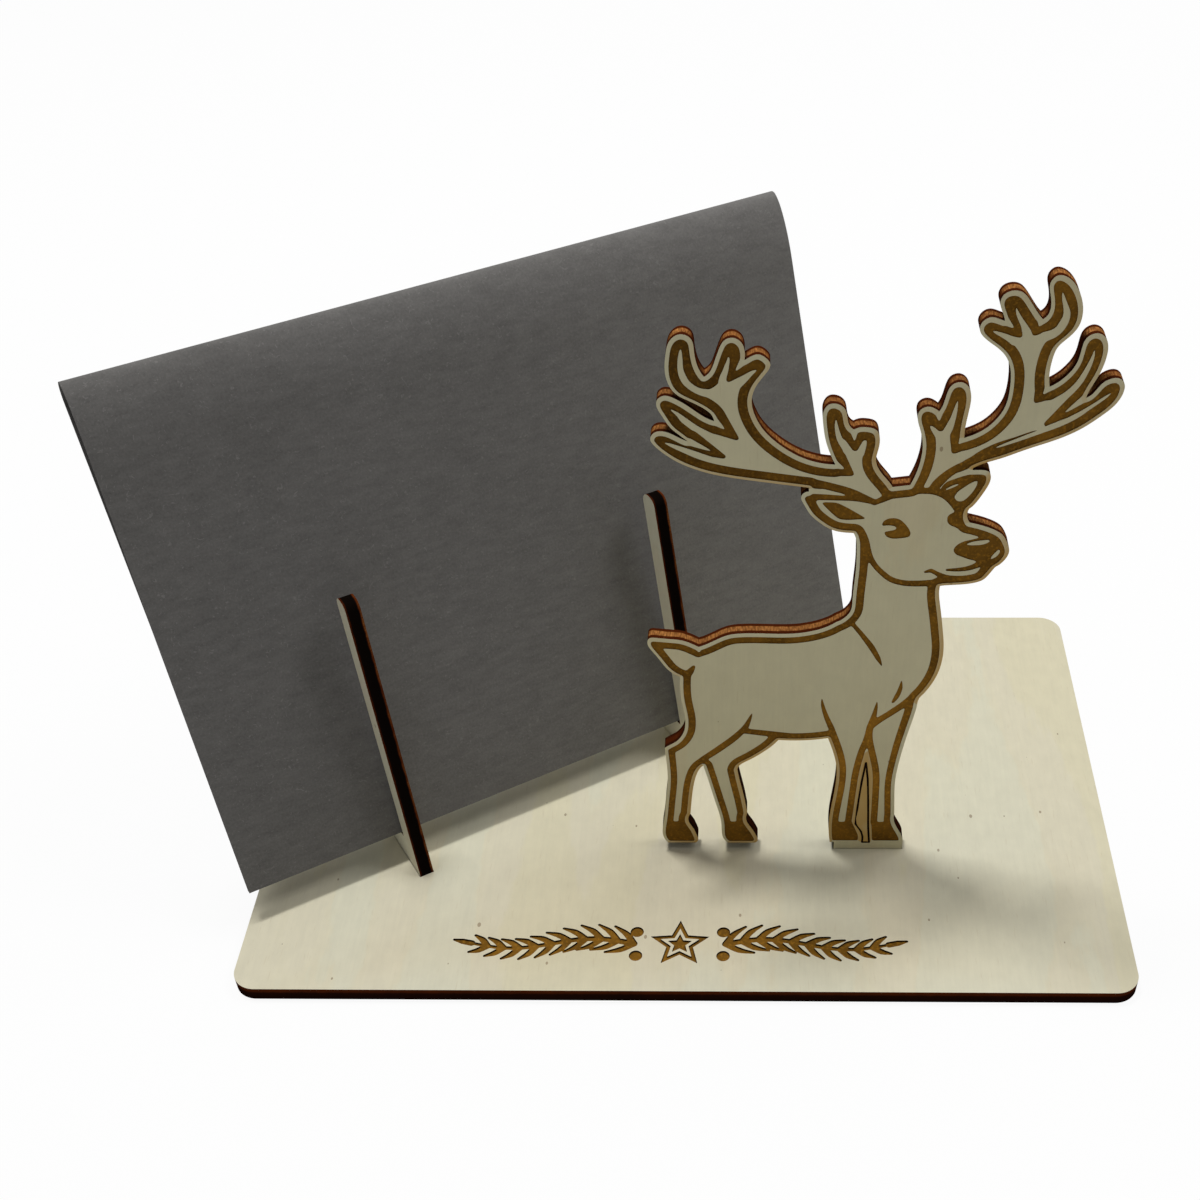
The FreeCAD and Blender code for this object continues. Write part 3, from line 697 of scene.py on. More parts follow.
def plywood_finishes(kind, wood, veneer, grain, rim_soot, plies):
    """The finishes of a kind of plywood piece, in the order of its material slots."""
    return (
        bare_plywood(f"bare_{kind}", wood, veneer, grain),
        engraved_wood(f"engraved_{kind}", wood, rim_soot),
        burnt_edge(f"burnt_{kind}_edge", wood, plies))


def grey_paper(paper):
    """Matt recycled paper with fine fibres, flock and hairs, and painted light towards its right end."""
    finish = Finish("grey_paper")
    spot = finish.spot()
    fibre = finish.noise(spot, 2200, 4, 0.65)
    flock = finish.noise(finish.spot((0.3, 0.3, 1)), 650, 4, 0.65)
    cloud = finish.noise(spot, 45, 3, 0.6)
    fine = finish.span(fibre, 0.25, 0.75, -0.16, 0.16)
    shade = finish.sum("ADD", fine, finish.span(flock, *MIDDLE, 0.89, 1.11))
    shade = finish.sum("MULTIPLY", shade, finish.span(cloud, *MIDDLE, 0.97, 1.03))
    # Painted light: the shade climbs along x, so the card is lighter towards its right end, as if lit more
    # from there.
    across = finish.add("ShaderNodeSeparateXYZ", {"Vector": spot}).outputs["X"]
    shade = finish.sum("MULTIPLY", shade, finish.span(across, -0.085, 0.035, 0.93, 1.19))
    colour = finish.shaded(paper.grey, shade)
    hairs = finish.noise(spot, 900, 1, 0.5, 2.5)
    colour = finish.blend(finish.span(hairs, 0.66, 0.72, 0.0, 0.25), colour, HAIR)
    finish.dress(colour, finish.span(fibre, *MIDDLE, 0.85, 0.95), 0.15)
    finish.bump(fibre, 0.15, 0.00006)
    return finish.material


def smooth_run(points, closed=False, sharp=LINE_CORNER, steps=LINE_STEPS):
    """A finer run through points, curved smoothly except where it turns sharply."""
    count = len(points)
    steps_out = np.roll(points, -1, 0) - points
    length = np.linalg.norm(steps_out[:, :2], axis=1)
    way = steps_out[:, :2] / length[:, None]
    leave, arrive = way.copy(), way.copy()
    for spot in range(count):
        if not closed and spot in (0, count - 1):
            continue
        before, after = way[spot - 1], way[spot]
        if before @ after < math.cos(math.radians(sharp)):
            continue
        long_before, long_after = length[spot - 1], length[spot]
        tangent = before * long_after + after * long_before
        if long_before > STRAIGHT_SHARE * long_after:
            tangent = before
        elif long_after > STRAIGHT_SHARE * long_before:
            tangent = after
        leave[spot] = arrive[spot - 1] = tangent / np.linalg.norm(tangent)
    share = np.linspace(0, 1, steps, endpoint=False)[:, None]
    bend = (share - 2 * share ** 2 + share ** 3, share ** 3 - share ** 2)
    ease = 3 * share ** 2 - 2 * share ** 3
    run = []
    for spot in range(count if closed else count - 1):
        span = np.empty((steps, points.shape[1]))
        span[:, :2] = points[spot, :2] + ease * steps_out[spot, :2]
        span[:, :2] += length[spot] * (bend[0] * leave[spot] + bend[1] * arrive[spot])
        span[:, 2:] = points[spot, 2:] + share * steps_out[spot, 2:]
        run.append(span)
    if not closed:
        run.append(points[-1:])
    return np.vstack(run)


class Side:
    """A broad side of a plywood node: its own axes, its thickness, and its rims in millimetres."""

    def __init__(self, node, toward):
        mesh = frame["nodes"][node].data
        seen = [face for face in mesh.polygons if face.normal.dot(Vector(toward)) > FACING]
        self.out = max(seen, key=lambda face: face.area).normal.copy()
        self.up = Vector((0, 1, 0)) if abs(self.out.z) > FACING else Vector((0, 0, 1))
        self.across = self.up.cross(self.out)
        heights = [vertex.co.dot(self.out) for vertex in mesh.vertices]
        self.front = max(heights)
        self.thickness = max(heights) - min(heights)
        self.rims = [smooth_run(rim, True, RIM_CORNER, RIM_STEPS) for rim in self.edge_loops(mesh)]

    def edge_loops(self, mesh):
        """The closed rims of the faces on this side."""
        axes = (self.across, self.up)
        edges = set()
        for face in mesh.polygons:
            if face.normal.dot(self.out) > FLAT:
                spots = [mesh.vertices[corner].co for corner in face.vertices]
                corners = [tuple(round(spot.dot(axis) / MM, 3) for axis in axes) for spot in spots]
                for edge in zip(corners, corners[1:] + corners[:1]):
                    if edge[::-1] in edges:
                        edges.remove(edge[::-1])
                    else:
                        edges.add(edge)
        return chains(dict(edges))

    def lift(self, spot, depth):
        """A point of the side in the holder's own frame, sunk below the face by a depth."""
        return (self.across * spot[0] + self.up * spot[1]) * MM + self.out * (self.front - depth)

    def layer(self, rims, start, stop):
        """A layer of the same piece between two depths, within other rims."""
        layer = copy(self)
        layer.rims = rims
        layer.front = self.front - start
        layer.thickness = stop - start
        return layer


def chains(after):
    """Closed chains of a mapping from each link to the next."""
    loops = []
    while after:
        start = min(after)
        here = after.pop(start)
        loop = [start]
        while here != start:
            loop.append(here)
            here = after.pop(here)
        loops.append(np.array(loop))
    return loops


class Grid:
    """Samples over a face, on which lines and areas are drawn as distances in millimetres."""

    def __init__(self, points, cell):
        low, high = points.min(0) - GRID_MARGIN, points.max(0) + GRID_MARGIN
        self.cell = cell
        self.x = np.arange(low[0], high[0], cell)
        self.z = np.arange(low[1], high[1], cell)

    def window(self, low, high):
        """The part of the grid that covers a box, and the places of its samples."""
        left, right = np.searchsorted(self.x, (low[0], high[0]))
        bottom, top = np.searchsorted(self.z, (low[1], high[1]))
        return np.s_[bottom:top, left:right], self.x[None, left:right], self.z[bottom:top, None]

    def blank(self, level):
        """The same level at every sample."""
        return np.full((len(self.z), len(self.x)), level)

    def stroke(self, level, points, halves, reach, closed=False):
        """Draw a line of changing half width: the level is how far a sample lies inside, or below zero."""
        for spot in range(len(points) if closed else len(points) - 1):
            after = (spot + 1) % len(points)
            start, stop = points[spot], points[after]
            step = stop - start
            part, x, z = self.window(np.minimum(start, stop) - reach, np.maximum(start, stop) + reach)
            share = ((x - start[0]) * step[0] + (z - start[1]) * step[1]) / max(step @ step, TINY)
            share = np.clip(share, 0, 1)
            gap = np.hypot(x - start[0] - share * step[0], z - start[1] - share * step[1])
            half = halves[spot] + (halves[after] - halves[spot]) * share
            level[part] = np.maximum(level[part], half - gap)

    def strokes(self, runs, shift, growth=0.0, reach=2.0):
        """The level of several strokes, each a run of (x, z, width), moved by a shift and grown."""
        level = self.blank(-reach)
        for run in runs:
            smooth = smooth_run(np.array(run))
            self.stroke(level, smooth[:, :2] + shift, smooth[:, 2] / 2 + growth, reach)
        return level

    def away(self, line, reach):
        """How far each sample lies from a closed line, up to a reach."""
        level = self.blank(-reach)
        self.stroke(level, line, np.zeros(len(line)), reach, True)
        return -level

    def within(self, lines):
        """Whether each sample lies inside closed lines, by counting crossings."""
        flips = np.zeros((len(self.z), len(self.x) + 1), int)
        for line in lines:
            for (x0, z0), (x1, z1) in zip(line, np.roll(line, -1, 0)):
                if z0 == z1:
                    continue
                rows = np.arange(*np.searchsorted(self.z, sorted((z0, z1))))
                cross = x0 + (self.z[rows] - z0) * (x1 - x0) / (z1 - z0)
                np.add.at(flips, (rows, np.searchsorted(self.x, cross)), 1)
        return np.cumsum(flips, 1)[:, :-1] % 2 == 1

    def area(self, line, reach=1.0):
        """How far each sample lies inside a closed line, and below zero outside it."""
        gap = self.away(line, reach)
        return np.where(self.within([line]), gap, -gap)

    def mitre(self, gap, notch, tip, width, nose=0.0):
        """Let a band of a width run to a rounded tip in front of a notch, instead of round the notch."""
        ahead = tip - notch
        reach = np.linalg.norm(ahead)
        ahead = ahead / reach
        slant = (width - nose) / (reach - nose)
        upright = math.sqrt(1 - slant ** 2)
        part, x, z = self.window(notch - reach, notch + reach)
        along = (x - notch[0]) * ahead[0] + (z - notch[1]) * ahead[1]
        aside = np.abs((x - notch[0]) * ahead[1] - (z - notch[1]) * ahead[0])
        past = along - (reach - nose)
        edge = along * slant + aside * upright
        edge = np.where(past * upright > aside * slant, width - nose + np.hypot(past, aside), edge)
        gap[part] = np.where(along > 0, np.minimum(gap[part], edge), gap[part])

    def zero_lines(self, level):
        """Closed lines along which a level passes zero, with what is above zero on their left."""
        up = (level > 0).astype(int)
        code = up[:-1, :-1] + 2 * up[:-1, 1:] + 4 * up[1:, 1:] + 8 * up[1:, :-1]
        after = {}
        for row, col in np.argwhere((code > 0) & (code < 15)).tolist():
            edges = {
                "b": (row, col, 0), "l": (row, col, 1), "t": (row + 1, col, 0), "r": (row, col + 1, 1)}
            for start, stop in CROSSINGS[code[row, col]].split():
                after[edges[start]] = edges[stop]
        lines = []
        for loop in chains(after):
            row, col, upright = loop.T
            here = level[row, col]
            share = here / (here - level[row + upright, col + 1 - upright])
            x = self.x[col] + share * (1 - upright) * self.cell
            z = self.z[row] + share * upright * self.cell
            lines.append(np.stack((x, z), 1))
        return [line for line in lines if len(line) > SPECK_POINTS]

    def at(self, values, spots):
        """The samples nearest to some places."""
        col = np.clip(np.rint((spots[:, 0] - self.x[0]) / self.cell).astype(int), 0, len(self.x) - 1)
        row = np.clip(np.rint((spots[:, 1] - self.z[0]) / self.cell).astype(int), 0, len(self.z) - 1)
        return values[row, col]


# How a zero line crosses a cell of the grid, by which of its corners lie above zero: from which side to
# which, out of bottom, right, top and left.
CROSSINGS = (
    "", "bl", "rb", "rl", "tr", "bl tr", "tb", "tl", "lt", "bt", "rb lt", "rt", "lr", "br", "lb", "")


def thin_out(line, slack):
    """A closed line without the points that lie within a slack of a straight run past them."""
    ring = np.vstack((line, line[:1]))
    far = int(np.argmax(np.linalg.norm(line - line[0], axis=1)))
    keep = np.zeros(len(line), bool)
    keep[[0, far]] = True
    spans = [(0, far), (far, len(line))]
    while spans:
        first, last = spans.pop()
        if last - first < 2:
            continue
        run = ring[last] - ring[first]
        between = ring[first + 1:last] - ring[first]
        gap = np.abs(between[:, 0] * run[1] - between[:, 1] * run[0]) / max(np.linalg.norm(run), TINY)
        worst = int(np.argmax(gap))
        if gap[worst] > slack:
            middle = first + 1 + worst
            keep[middle] = True
            spans += [(first, middle), (middle, last)]
    return line[keep]


def softened(level, rounds):
    """A level whose corners are rounded off, by averaging neighbours for some rounds."""
    for _ in range(rounds):
        wide = np.pad(level, 1, mode="edge")
        around = wide[:-2, 1:-1] + wide[2:, 1:-1] + wide[1:-1, :-2] + wide[1:-1, 2:]
        level = (around + 4 * level) / 8
    return level


def reindeer_level(grid, rims, sizes):
    """Where the reindeer is engraved: a line along its outline, the strokes and the filled areas."""
    floor = np.array((0.0, PLATE_TOP))
    border = sizes.border / MM
    widths = np.array((sizes.leg_line, sizes.body_line, sizes.body_line, sizes.antler_line)) / MM

    def line(height):
        """Width of the engraved outline at a height."""
        return np.interp(height - floor[1], LINE_HEIGHTS, widths)

    outline = max(rims, key=len) + np.array((sizes.drift_x, sizes.drift_z)) / MM
    to_border = grid.away(outline, OUTLINE_REACH)
    to_line = to_border.copy()
    for notch, border_tip, line_tip in np.array(NOTCHES) + floor:
        run = (border_tip - notch) * BORDER_RUN / np.linalg.norm(border_tip - notch)
        grid.mitre(to_border, notch, border_tip + run, border)
        grid.mitre(to_line, notch, line_tip, border + line(notch[1]), LINE_NOSE)
    level = np.minimum(to_border - border, border + line(grid.z)[:, None] - to_line)
    level = np.minimum(level, -grid.strokes(BARE_STROKES.values(), floor, SLIVER_GROWTH))
    level = np.maximum(level, grid.strokes(STROKES.values(), floor))
    for ring in FILLS.values():
        level = np.maximum(level, grid.area(smooth_run(np.array(ring), True) + floor))
    level = np.minimum(level, to_border - border)
    for ring in BARE_SPOTS.values():
        level = np.minimum(level, -grid.area(smooth_run(np.array(ring), True) + floor))
    return np.where(grid.within(rims), softened(level, SOFTENING), -1.0)


def turned(way, angle):
    """A direction turned by an angle."""
    return np.array((way[0] * math.cos(angle) - way[1] * math.sin(angle),
                     way[0] * math.sin(angle) + way[1] * math.cos(angle)))


def sprig(sizes, side):
    """Strokes of a fir sprig that runs out to one side of the star, with two berries where it starts."""
    needle, width, star = sizes.needle / MM, sizes.width / MM, sizes.star / MM
    start = star + 2 * width
    reach = sizes.length / MM / 2 - start - needle * NEEDLE_TIP_SHARE

    def stem(share):
        """A place along the stem."""
        return np.array((side * (start + share * reach), sizes.wave / MM * math.sin(2 * math.pi * share)))

    shares = np.linspace(0, 1, STEM_STATIONS)
    strokes = [[(*stem(share), width * (1 - STEM_TAPER * share)) for share in shares]]
    count = round(reach * MM / sizes.pitch)
    for number in range(count + 1):
        share = number / count
        ahead = stem(share + STEM_STEP) - stem(share - STEM_STEP)
        ahead = ahead / np.linalg.norm(ahead)
        half = needle / 2 * (1 - (1 - NEEDLE_TIP_SHARE) * share)
        for spread in (-NEEDLE_SPREAD, NEEDLE_SPREAD) if number < count else (0.0,):
            root = stem(share)
            elbow = root + turned(ahead, spread) * half
            tip = elbow + turned(ahead, spread * NEEDLE_CURL) * half
            bends = zip((root, elbow, tip), NEEDLE_WIDTHS)
            strokes.append([(*spot, width * part) for spot, part in bends])
    for aside in (-1, 1):
        berry = np.array((side * (start - width / 3), aside * BERRY_ASIDE * width))
        strokes.append([(*spot, BERRY_WIDTH * width) for spot in (berry, berry + BERRY_DOT)])
    return strokes


def star_ring(radius):
    """The outline of a five-pointed star."""
    turns = math.pi / 2 + np.arange(10) * math.pi / 5
    reach = np.where(np.arange(10) % 2, STAR_WAIST_SHARE, 1.0) * radius
    return np.stack((reach * np.cos(turns), reach * np.sin(turns)), 1)


def garland_level(grid, sizes):
    """Where the plate is engraved: a star with a smaller one inside, and a fir sprig to each side."""
    middle = np.array((sizes.aside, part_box("base_plate")[0].y + sizes.inset)) / MM
    level = grid.strokes(sprig(sizes, -1) + sprig(sizes, 1), middle)
    rings = [star_ring(sizes.star / MM * share) + middle for share in STAR_SHARES]
    outer, gap, inner = [grid.area(ring) for ring in rings]
    return np.maximum(level, np.maximum(np.minimum(outer, -gap), inner))


def headings(rim):
    """The way along a rim at each of its points, with the wood on its left."""
    way = np.roll(rim, -1, 0) - np.roll(rim, 1, 0)
    return way / np.linalg.norm(way, axis=1)[:, None]


def scorched(rim):
    """How tan the veneer is along a rim: most where it faces right and down, and round a hole."""
    x, z = rim.T
    height = z - PLATE_TOP
    if np.sum(x * np.roll(z, -1) - np.roll(x, -1) * z) < 0:
        share = smoked(rim)
    else:
        way = headings(rim)
        share = EVEN_STAIN + SMOKE_STAIN * (way[:, 1] * SMOKE[0] - way[:, 0] * SMOKE[1])
        share = share * np.interp(height, *ANTLER_SMOKE)
    for left, right, top in SMOKED_LEGS:
        inside = (x > left) & (x < right) & (height < top)
        share = np.where(inside, np.maximum(share, LEG_STAIN), share)
    for start, top in CLEAN_PARTS:
        share = np.where((x > start) & (height < top), CLEAN_STAIN, share)
    return np.clip(share, 0.0, 1.0)


def unscorched(rim):
    """A rim that the smoke left clean."""
    return np.zeros(len(rim))


def smoked(rim):
    """A rim that is tan all round."""
    return np.full(len(rim), HOLE_STAIN)


def engraving_tones(spots):
    """How bright the reindeer's engraving is at some spots, drawn from the places near them."""
    places = np.array(ENGRAVING_TONES)
    places[:, 1] += PLATE_TOP
    gaps = np.linalg.norm(spots[:, None] - places[None, :, :2], axis=2)
    weights = 1 / (gaps + 1.0) ** 3
    return weights @ places[:, 2] / weights.sum(1)


def pared(rim, gap):
    """A rim moved by a gap into the wood, which lies on its left."""
    way = headings(rim)
    return rim + gap * np.stack((-way[:, 1], way[:, 0]), 1)


def plywood_mesh(name, side, grid, scorch, level=None, depth=0.0, tinted_and_shaded=False):
    """Mesh of a plywood piece: its face with the engraving sunk into it, its cut edges and its back."""
    lines = [("rim", line, scorch(line)) for line in side.rims]
    if level is not None:
        brinks = [thin_out(line, EDGE_SLACK) for line in grid.zero_lines(level)]
        rings = [thin_out(line, RING_SLACK) for line in grid.zero_lines(level - RIM_WIDTH)]
        lines += [("brink", line, np.full(len(line), EDGE_STAIN)) for line in brinks]
        lines += [("ring", line, np.zeros(len(line))) for line in rings]
    points, edges, kinds, along, stains = [], [], [], [], []
    for kind, line, stain in lines:
        first, count = len(points), len(line)
        points += [Vector(spot) for spot in line]
        kinds += [kind] * count
        stains += list(stain)
        edges += [(first + spot, first + (spot + 1) % count) for spot in range(count)]
        steps = np.linalg.norm(np.diff(line, axis=0), axis=1)
        along += [0.0, *np.cumsum(steps)]
    spots, joins, triangles, from_points, from_edges, _ = delaunay_2d_cdt(points, edges, [], 0, MERGE)
    char_at = [{FACE: stains[source[0]] if source else EDGE_STAIN,
                FLOOR: 0.0 if source and kinds[source[0]] == "ring" else 1.0} for source in from_points]
    along_at = [along[source[0]] if source else 0.0 for source in from_points]
    on_rim = [bool(source) and kinds[source[0]] == "rim" for source in from_points]
    walls = {frozenset(join) for join, source in zip(joins, from_edges)
             if any(kinds[edges[edge][0]] != "ring" for edge in source)}
    flat = np.array(spots)
    triangles = [list(corners) for corners in triangles]
    for corners in triangles:
        first, second, third = flat[corners]
        one, two = second - first, third - first
        if one[0] * two[1] < one[1] * two[0]:
            corners.reverse()
    ground = regions(flat, triangles, walls, grid, side.rims, level)
    tones_and_shades = dict.fromkeys((BARE, ENGRAVED, BURNT), np.ones(len(flat)))
    if tinted_and_shaded:
        tones_and_shades[ENGRAVED] = engraving_tones(flat)
        # Painted shade: the reindeer's cut edges that face aside show less copper than those facing up, as
        # under light from above.
        rises = np.concatenate([-headings(rim)[:, 0] for rim in side.rims])
        rise = [rises[source[0]] if rim else 0.0 for source, rim in zip(from_points, on_rim)]
        tones_and_shades[BURNT] = np.interp(flat[:, 1] - PLATE_TOP, *EDGE_TONES) * np.interp(rise, *PAINTED_RISE_SHADE)
    return build_plywood(name, side, depth, flat, triangles, ground, char_at, along_at, on_rim, tones_and_shades)


def regions(flat, triangles, walls, grid, rims, level):
    """What each triangle is, voted in each area between the lines: None outside, else face or floor."""
    beside = {}
    for number, corners in enumerate(triangles):
        for edge in zip(corners, corners[1:] + corners[:1]):
            beside.setdefault(frozenset(edge), []).append(number)
    corners = flat[np.array(triangles)]
    middle = corners.mean(1)
    span = corners[:, 1:] - corners[:, :1]
    size = np.abs(span[:, 0, 0] * span[:, 1, 1] - span[:, 0, 1] * span[:, 1, 0])
    solid = grid.at(grid.within(rims), middle)
    sunk = grid.at(level, middle) > 0 if level is not None else np.zeros(len(middle), bool)
    neighbours = [[] for _ in triangles]
    for edge, pair in beside.items():
        if edge not in walls and len(pair) == 2:
            neighbours[pair[0]].append(pair[1])
            neighbours[pair[1]].append(pair[0])
    ground = [-1] * len(triangles)
    for start in range(len(triangles)):
        if ground[start] != -1:
            continue
        group, fresh = [start], [start]
        ground[start] = None
        while fresh:
            for other in neighbours[fresh.pop()]:
                if ground[other] == -1:
                    ground[other] = None
                    group.append(other)
                    fresh.append(other)
        weight = size[group]
        if weight @ solid[group] > weight.sum() / 2:
            kind = FLOOR if weight @ sunk[group] > weight.sum() / 2 else FACE
            for number in group:
                ground[number] = kind
    return ground


def build_plywood(name, side, depth, flat, triangles, ground, char_at, along_at, on_rim, tones_and_shades):
    """The piece's mesh from its triangles, with marks for the finishes."""
    depths = {FACE: 0.0, FLOOR: depth, BACK: side.thickness}
    index, places, faces, finishes = {}, [], [], []
    marks = {"through": [], "along": [], "char": [], "tone": []}

    def corner(spot, deep):
        """The vertex at a spot and a depth."""
        key = (spot, deep)
        if key not in index:
            index[key] = len(places)
            places.append(side.lift(flat[spot], depths[deep]))
        return index[key]

    def face(corners, finish, chars, alongs):
        """Add a face with its finish and its marks."""
        faces.append([corner(*spot) for spot in corners])
        finishes.append(finish)
        marks["through"] += [depths[deep] / side.thickness for _, deep in corners]
        marks["char"] += chars
        marks["tone"] += [tones_and_shades[finish][spot] for spot, _ in corners]
        marks["along"] += [place * MM for place in alongs]

    owner = {}
    for corners, kind in zip(triangles, ground):
        for edge in zip(corners, corners[1:] + corners[:1]):
            owner[edge] = kind
        if kind is None:
            continue
        none = [0.0] * 3
        chars = [char_at[spot][kind] for spot in corners]
        if kind == FACE:
            beside = [char for char, spot in zip(chars, corners) if on_rim[spot]]
            least = STAIN_SPREAD * max(beside, default=0.0)
            chars = [max(char, least) for char in chars]
        face([(spot, kind) for spot in corners], ENGRAVED if kind == FLOOR else BARE, chars, none)
        face([(spot, BACK) for spot in reversed(corners)], BARE, none, none)
    for (start, stop), kind in owner.items():
        other = owner.get((stop, start))
        if kind == FACE and other == FLOOR:
            wall = [(stop, FACE), (start, FACE), (start, FLOOR), (stop, FLOOR)]
            face(wall, ENGRAVED, [1.0] * 4, [0.0] * 4)
        elif kind is not None and other is None:
            length = np.linalg.norm(flat[start] - flat[stop])
            here, there = along_at[start], along_at[stop]
            if abs(here - there) > 2 * length:
                here, there = (here, here + length) if here > there else (there + length, there)
            wall = [(stop, FACE), (start, FACE), (start, BACK), (stop, BACK)]
            face(wall, BURNT, [1.0] * 4, [there, here, here, there])
    mesh = bpy.data.meshes.new(name)
    mesh.from_pydata(places, [], faces)
    mesh.polygons.foreach_set("material_index", finishes)
    for mark, values in marks.items():
        mesh.attributes.new(mark, "FLOAT", "CORNER").data.foreach_set("value", values)
    mesh.shade_smooth()
    mesh.set_sharp_from_angle(angle=math.radians(PLYWOOD_CREASE))
    return mesh


def add_piece(name, mesh, finishes, body, node=None):
    """Put a piece into the scene, in place of a CAD node where it stands for one."""
    for finish in finishes:
        mesh.materials.append(finish)
    piece = bpy.data.objects.new(name, mesh)
    bpy.context.scene.collection.objects.link(piece)
    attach(piece, body)
    if node:
        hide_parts(node)


class CARDHOLDER_OT_plate(bpy.types.Operator):
    """Build the plate with its slots and the garland engraved along its front"""

    bl_idname = "card_holder.plate"
    bl_label = "Plate"

    def execute(self, context):
        settings = context.scene.card_holder
        wood = settings.wood
        side = Side("base_plate", (0, 0, 1))
        grid = Grid(np.vstack(side.rims), settings.engraving.cell / MM)
        level = garland_level(grid, settings.garland)
        mesh = plywood_mesh("plate", side, grid, unscorched, level, settings.engraving.plate_depth)
        finishes = plywood_finishes("plate", wood, wood.bare, (0, 1, 0), PLATE_SOOT, PLATE_PLIES)
        add_piece("plate", mesh, finishes, "base", "base_plate")
        return {"FINISHED"}


class CARDHOLDER_OT_reindeer(bpy.types.Operator):
    """Build the reindeer with its engraving, and the sliver left in the cut between its front legs"""

    bl_idname = "card_holder.reindeer"
    bl_label = "Reindeer"

    def execute(self, context):
        settings = context.scene.card_holder
        wood = settings.wood
        side = Side("reindeer", (0, -1, 0))
        outline, cut = sorted(side.rims, key=len, reverse=True)
        cut = pared(cut, KERF_BURN)
        side.rims = [outline, cut]
        grid = Grid(outline, settings.engraving.cell / MM)
        level = reindeer_level(grid, side.rims, settings.engraving)
        mesh = plywood_mesh("figure", side, grid, scorched, level, settings.engraving.depth, True)
        # The reindeer takes the yellower veneer, with the plate's bounced light painted into it.
        finishes = plywood_finishes(
            "reindeer", wood, wood.upright, (0, 0, 1), REINDEER_SOOT, REINDEER_PLIES)
        add_piece("figure", mesh, finishes, "reindeer", "reindeer")
        offcut = Side("front_leg_offcut", (0, -1, 0))
        offcut.rims = [pared(offcut.rims[0], KERF_BURN)]
        mesh = plywood_mesh("leg_offcut", offcut, Grid(offcut.rims[0], PLAIN_CELL), smoked)
        # The offcut's edges are near black: char, and painted shade in the narrow gap.
        sooty_and_shaded = burnt_edge("burnt_offcut_edge", wood, KERF_SHADED_PLIES)
        finishes = (*finishes[:BURNT], sooty_and_shaded)
        add_piece("leg_offcut", mesh, finishes, "reindeer", "front_leg_offcut")
        # A near-black plug in the cut between the legs: char, and painted shade for the narrow gap.
        kerf = side.layer([cut, offcut.rims[0]], *(depth * MM for depth in KERF_CHAR_AND_SHADE))
        mesh = plywood_mesh("kerf_char", kerf, Grid(cut, KERF_CELL), unscorched)
        add_piece("kerf_char", mesh, (sooty_and_shaded, sooty_and_shaded, sooty_and_shaded), "reindeer")
        return {"FINISHED"}


class CARDHOLDER_OT_stays(bpy.types.Operator):
    """Build the two forked stays"""

    bl_idname = "card_holder.stays"
    bl_label = "Stays"

    def execute(self, context):
        wood = context.scene.card_holder.wood
        finishes = plywood_finishes("stay", wood, wood.bare, (0, 0, 1), STAY_SOOT, STAY_PLIES)
        for hand in ("left", "right"):
            side = Side(f"{hand}_card_stay", (-1, 0, 0))
            mesh = plywood_mesh(f"{hand}_stay", side, Grid(side.rims[0], PLAIN_CELL), unscorched)
            add_piece(f"{hand}_stay", mesh, finishes, f"{hand}_stay", f"{hand}_card_stay")
        return {"FINISHED"}


class CARDHOLDER_OT_card(bpy.types.Operator):
    """Build the folded card"""

    bl_idname = "card_holder.card"
    bl_label = "Card"

    def execute(self, context):
        finish = grey_paper(context.scene.card_holder.paper)
        add_piece("card", card_mesh(), (finish,), "card", "gift_card")
        return {"FINISHED"}


def card_mesh():
    """The sheet bent over at the top, as a closed shell as thick as the paper."""
    lift = next(joint for joint in frame["joints"] if joint["name"] == "card_lift")
    up = Vector(lift["axis"]).normalized()
    along = -Side("left_card_stay", (-1, 0, 0)).out
    back = up.cross(along)
    axes = np.array((along, back, up))
    spots = np.array([vertex.co for vertex in frame["nodes"]["gift_card"].data.vertices]) @ axes.T
    low, high = spots.min(0), spots.max(0)
    length, height = high[0] - low[0], high[2] - low[2]
    fold, crown, gap, waist = CARD_FOLD * MM, CARD_CROWN * MM, CARD_GAP * MM, CARD_WAIST * MM
    up_front, into_fold, round_fold, down_back, to_foot = CARD_POINTS
    centre, knee = np.array((fold, height - fold)), np.array((gap, waist))
    reach = centre - knee
    slope = math.atan2(*reach) + math.asin(fold / np.linalg.norm(reach))
    rise = np.linspace(math.pi, math.pi / 2, into_fold)
    turn = np.linspace(math.pi / 2, -slope, round_fold)[1:]
    brow = np.stack((fold + fold * np.cos(rise), height - crown + crown * np.sin(rise)), 1)
    bend = np.vstack((brow, centre + fold * np.stack((np.cos(turn), np.sin(turn)), 1)))
    front = np.stack((np.zeros(up_front), np.linspace(0, height - crown, up_front)), 1)[:-1]
    leaf = knee + np.linspace(1, 0, down_back)[1:, None] * (bend[-1] - knee)
    foot = np.stack((np.full(to_foot, gap), np.linspace(waist, 0, to_foot)), 1)[1:]
    outer = np.vstack((front, bend, leaf, foot))
    step = np.gradient(outer, axis=0)
    normal = np.stack((-step[:, 1], step[:, 0]), 1) / np.linalg.norm(step, axis=1)[:, None]
    inner = outer - normal * (CARD_SHEET * MM)
    ring = np.vstack((outer, inner[::-1]))
    count = len(ring)
    places, faces = [], []
    for station in np.linspace(0, length, CARD_STATIONS):
        for depth, rise in ring:
            places.append(Vector((low + (station, depth, rise)) @ axes))
    for row in range(CARD_STATIONS - 1):
        near, far = row * count, (row + 1) * count
        for col in range(count):
            after = (col + 1) % count
            faces.append((near + col, near + after, far + after, far + col))
    for row in (0, CARD_STATIONS - 1):
        for col in range(len(outer) - 1):
            quad = (col, col + 1, count - 2 - col, count - 1 - col)
            corners = [row * count + spot for spot in quad]
            faces.append(corners if row else corners[::-1])
    mesh = bpy.data.meshes.new("card")
    mesh.from_pydata(places, [], faces)
    mesh.shade_smooth()
    mesh.set_sharp_from_angle(angle=math.radians(PAPER_CREASE))
    return mesh


